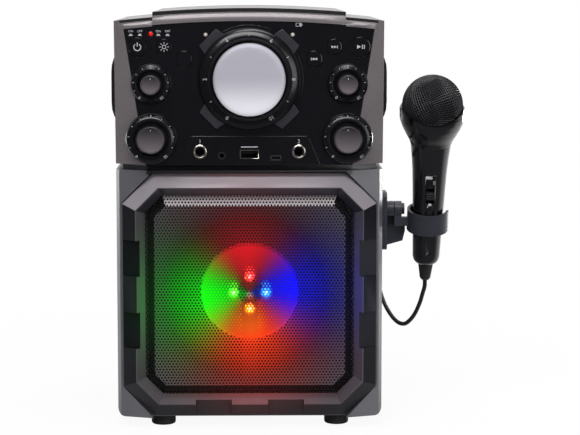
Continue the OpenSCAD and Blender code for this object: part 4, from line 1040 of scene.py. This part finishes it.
def master_knob():
    r = MASTER_R
    rim = steps_from(r, (-6, -22), (-3.2, -21.9), (-1.7, -21.5), (-0.6, -20.6), (-0.15, -19.4), (0, -17.5))
    piece = knob_shell("master_knob_shell", [(0, -22), *rim], 0, MASTER_Z, r, -19, 128, "silver")
    settled(piece, "master", "silver", "master_knob")
    x, z = around(0, MASTER_Z, r - MARK_INSET, pi / 2 - MARK_TURN)
    printed("master_pointer", "master", [arc_mark(x, z, 0.55, 0.5, 0, 350)], -22, "silver")


def small_knob(body, node, x, z, r):
    h = KNOB_HIGH
    rim = steps_from(r, (-2.2, 0.2 - h), (-1.3, 0.1 - h), (-0.6, 0.5 - h), (-0.15, 1.2 - h), (0, 2.6 - h))
    lacquer = knob_face("soft_lacquer_painted_shade_" + body, x, z, r)
    piece = knob_shell(node + "_shell", [(0, 0.5 - h), *rim], x, z, r, 3 - h, 72, lacquer)
    settled(piece, body, "knob_grey", node)
    printed(node + "_pointer", body, [box_mark(x, z + r - 2.6, 0.5, 2.2)], -h + 0.28, "knob_grey")


class KARAOKE_OT_console(bpy.types.Operator):
    """The gloss panel with its collars and knobs"""

    bl_idname = "karaoke.console"
    bl_label = "Console"

    def execute(self, context):
        finished("console_panel", "panel", "gloss", edge=0.15 * MM)
        master_collar()
        small_collars()
        master_knob()
        for body, (node, x, z, r, _) in SMALL_KNOBS.items():
            small_knob(body, node, x, z, r)
        return {"FINISHED"}


# The y of what is printed, from the panel's face
ON_CAP, ON_PANEL, ON_PLATE = -0.98, 0, -0.6
SWITCH_X = (-89.8, -82.9, -68.9, -61.9)
JACK_X = (-37.7, 37.7)


def button_signs():
    """The standard signs on the buttons' caps."""
    x, z, _ = BUTTONS["power"]
    power = [arc_mark(x, z - 0.2, 2.6, 0.7, 125, 415, 24), box_mark(x, z + 1.9, 0.7, 3.2)]
    printed("power_mark", "power", power, ON_CAP)
    x, z, _ = BUTTONS["lights"]
    angles = [radians(45 * i) for i in range(8)]
    rays = [box_mark(*around(x, z, 3.1, a), 1.3, 0.45, a) for a in angles]
    printed("lights_mark", "lights", [arc_mark(x, z, 1.4, 0.5, 0, 355, 20), *rays], ON_CAP)
    for body, way in (("previous", -1), ("next", 1)):
        x, z, _ = BUTTONS[body]
        arrows = [
            [(x + way * (u - 1.2), z - 1.1), (x + way * (u + 0.9), z), (x + way * (u - 1.2), z + 1.1)]
            for u in (-0.9, 1.2)
        ]
        printed(body + "_mark", body, [*arrows, box_mark(x + way * 2.5, z, 0.5, 2.2)], ON_CAP)
    x, z, _ = BUTTONS["play"]
    play = [(x - 2.9, z - 1.5), (x + 0.1, z), (x - 2.9, z + 1.5)]
    printed("play_mark", "play", [play, box_mark(x + 1.1, z, 0.7, 3), box_mark(x + 2.6, z, 0.7, 3)], ON_CAP)


def panel_marks():
    """A battery sign, switch signs, a line over the sockets, ON and OFF, and the jacks' numbers."""
    battery = [
        box_mark(37.1, 313.6, 2.9, 0.45),
        box_mark(37.1, 311.2, 2.9, 0.45),
        box_mark(35.6, 312.4, 0.45, 2.8),
        box_mark(38.9, 312.4, 1.6, 2.9),
        box_mark(40.2, 312.4, 0.6, 1.2),
    ]
    signs = ((304.2, 3.0, 0.5), (305.0, 1.9, 0.9))
    switches = [box_mark(x, *sign) for x in SWITCH_X for sign in signs]
    printed("panel_marks", "cabinet", battery + switches, ON_PANEL)
    printed("socket_marks", "cabinet", [box_mark(0, 219.4, 13, 0.7)], ON_PLATE)
    for k, x in enumerate(SWITCH_X):
        numeral(f"switch_word_{k}", ("ON", "OFF")[k % 2], x, 307.4, 1.7, ON_PANEL)
    for k, x in enumerate(JACK_X):
        numeral(f"jack_number_{k + 1}", str(k + 1), x, 223.5, 3.0, ON_PLATE)


def dial(name, x, z, start, step, numbers, strokes):
    """A scale from 0 to 10, clockwise from start: some numbers, and a stroke for each of the rest."""
    shown, far, height, y = numbers
    angles = [radians(start - step * k) for k in range(11)]
    for k in shown:
        numeral(f"{name}_dial_{k}", str(k), *around(x, z, far, angles[k]), height, y, pi / 2 - angles[k])
    far, long, wide, y = strokes
    rest = [a for k, a in enumerate(angles) if k not in shown]
    ticks = [box_mark(*around(x, z, far, a), long, wide, a) for a in rest]
    printed(name + "_ticks", "cabinet", ticks, y)


class KARAOKE_OT_buttons(bpy.types.Operator):
    """The push buttons, signal lamps and printed marks"""

    bl_idname = "karaoke.buttons"
    bl_label = "Buttons and marks"

    def execute(self, context):
        for body, (x, z, r) in BUTTONS.items():
            cap = steps_from(r, (-2.5, -0.95), (-0.9, -1.0), (-0.35, -0.85), (0, -0.4), (0, 3.3))
            foot = [*steps_from(r, (1, 3.3), (1, 4.6)), (2, 4.6), (2, 7.2), (0, 7.2)]
            mesh = moved(lathe([(0, -0.85), *cap, *foot], 64), at(x, 0, z))
            piece = make_piece(body + "_button_cap", mesh, "gloss", smooth=30)
            settled(piece, body, "button", body + "_button")
        finished("indicator_lamps", "lamp", "red", "white", smooth=60, choose=right_of(-60))
        button_signs()
        panel_marks()
        for body, (_, x, z, r, outer) in SMALL_KNOBS.items():
            numbers = (range(0, 11, 5), outer - 2.55, 2.3, -4.98)
            dial(body, x, z, 230, 28, numbers, (outer - 2.4, 1.1, 0.35, -4.85))
        dial("master", 0, MASTER_Z, 240, 30, (range(0, 11, 2), 33.6, 3.0, -7.05), (33.6, 1.6, 0.4, -6.8))
        return {"FINISHED"}


class KARAOKE_OT_sockets(bpy.types.Operator):
    """The jacks and sockets, and the boards and cells behind the panel"""

    bl_idname = "karaoke.sockets"
    bl_label = "Sockets and inner parts"

    def execute(self, context):
        finished("mic_jack_nuts", "nickel", "nickel", smooth=30)
        finished("mic_jacks", "black", "satin_black", smooth=30)
        finished("aux_jack", "black", "satin_black", smooth=30)
        for node in ("data_port", "charging_port"):
            finished(node, "nickel", "contacts", "nickel", smooth=30, choose=front_rim(node))
        kept(control_board="board", button_switches="steel", potentiometers="steel")
        kept(jack_board="board", main_board="board", battery_pack="wrap")
        return {"FINISHED"}


def dome(cuts, r, start):
    """A ball of square cells, turned to stand on a corner, cut off below start on the microphone's axis."""
    mesh = bmesh.new()
    bmesh.ops.create_cube(mesh, size=2.0)
    bmesh.ops.subdivide_edges(mesh, edges=mesh.edges[:], cuts=cuts, use_grid_fill=True)
    for v in mesh.verts:
        v.co = Vector(tan(c * pi / 4) for c in v.co).normalized() * r
    stand = Matrix.Rotation(radians(45), 3, "Z") @ Matrix.Rotation(radians(54.74), 3, "X")
    moved(mesh, on_mic(BALL_S), MIC_MATRIX @ stand)
    cut_off(mesh, on_mic(start), -MIC_AXIS)
    return mesh


def mic_ball():
    wire = sizes().wire
    mesh = dome(17, BALL_R * MM - wire / 2, CUP_S + 0.8)
    even = {"use_replace": True, "use_even_offset": True, "use_boundary": True}
    bmesh.ops.wireframe(mesh, faces=mesh.faces[:], thickness=wire, **even)
    outward(mesh)
    settled(make_piece("mic_ball_wire", mesh, "mesh", smooth=60), "microphone", "mesh", "mic_grille")
    lining = dome(15, 22.0 * MM, CUP_S + 0.9)
    bmesh.ops.solidify(lining, geom=lining.faces[:], thickness=2.2 * MM)
    outward(lining)
    foam = settled(make_piece("mic_foam_lining", lining, "foam", smooth=60), "microphone", "foam", "mic_foam")


class KARAOKE_OT_microphone(bpy.types.Operator):
    """The microphone with its woven ball, and the clip that holds it"""

    bl_idname = "karaoke.microphone"
    bl_label = "Microphone and clip"

    def execute(self, context):
        edge = sizes().edge
        finished("mic_body", "black", "gloss", smooth=35)
        finished("mic_collar", "black", "gloss", smooth=30)
        finished("mic_switch", "black", "satin_black", edge=0.15 * MM)
        finished("mic_strain_relief", "rubber", "rubber", smooth=30)
        finished("mic_screw", "steel", "steel")
        finished("clip_ring", "black", "clip", edge=edge, smooth=30)
        finished("holder_base", "black", "clip", edge=edge, smooth=30)
        kept(holder_pin="satin_black", mic_capsule="steel")
        mic_ball()
        return {"FINISHED"}


# ---- the add-on


class KARAOKE_PT_panel(bpy.types.Panel):
    bl_label = "Karaoke machine"
    bl_idname = "KARAOKE_PT_panel"
    bl_space_type = "VIEW_3D"
    bl_region_type = "UI"
    bl_category = "Karaoke"

    def draw(self, context):
        for name in KaraokeSizes.__annotations__:
            self.layout.prop(context.scene.karaoke_sizes, name)
        for operator in OPERATORS:
            self.layout.operator(operator.bl_idname)


OPERATORS = (
    KARAOKE_OT_stage,
    KARAOKE_OT_cords,
    KARAOKE_OT_cabinet,
    KARAOKE_OT_front,
    KARAOKE_OT_speaker,
    KARAOKE_OT_console,
    KARAOKE_OT_buttons,
    KARAOKE_OT_sockets,
    KARAOKE_OT_microphone,
)


def register():
    for item in (KaraokeSizes, *OPERATORS, KARAOKE_PT_panel):
        bpy.utils.register_class(item)
    bpy.types.Scene.karaoke_sizes = bpy.props.PointerProperty(type=KaraokeSizes)


def unregister():
    del bpy.types.Scene.karaoke_sizes
    for item in (KARAOKE_PT_panel, *reversed(OPERATORS), KaraokeSizes):
        bpy.utils.unregister_class(item)


def main():
    register()
    for operator in OPERATORS:
        getattr(bpy.ops.karaoke, operator.bl_idname.split(".")[1])()


if __name__ == "__main__":
    main()
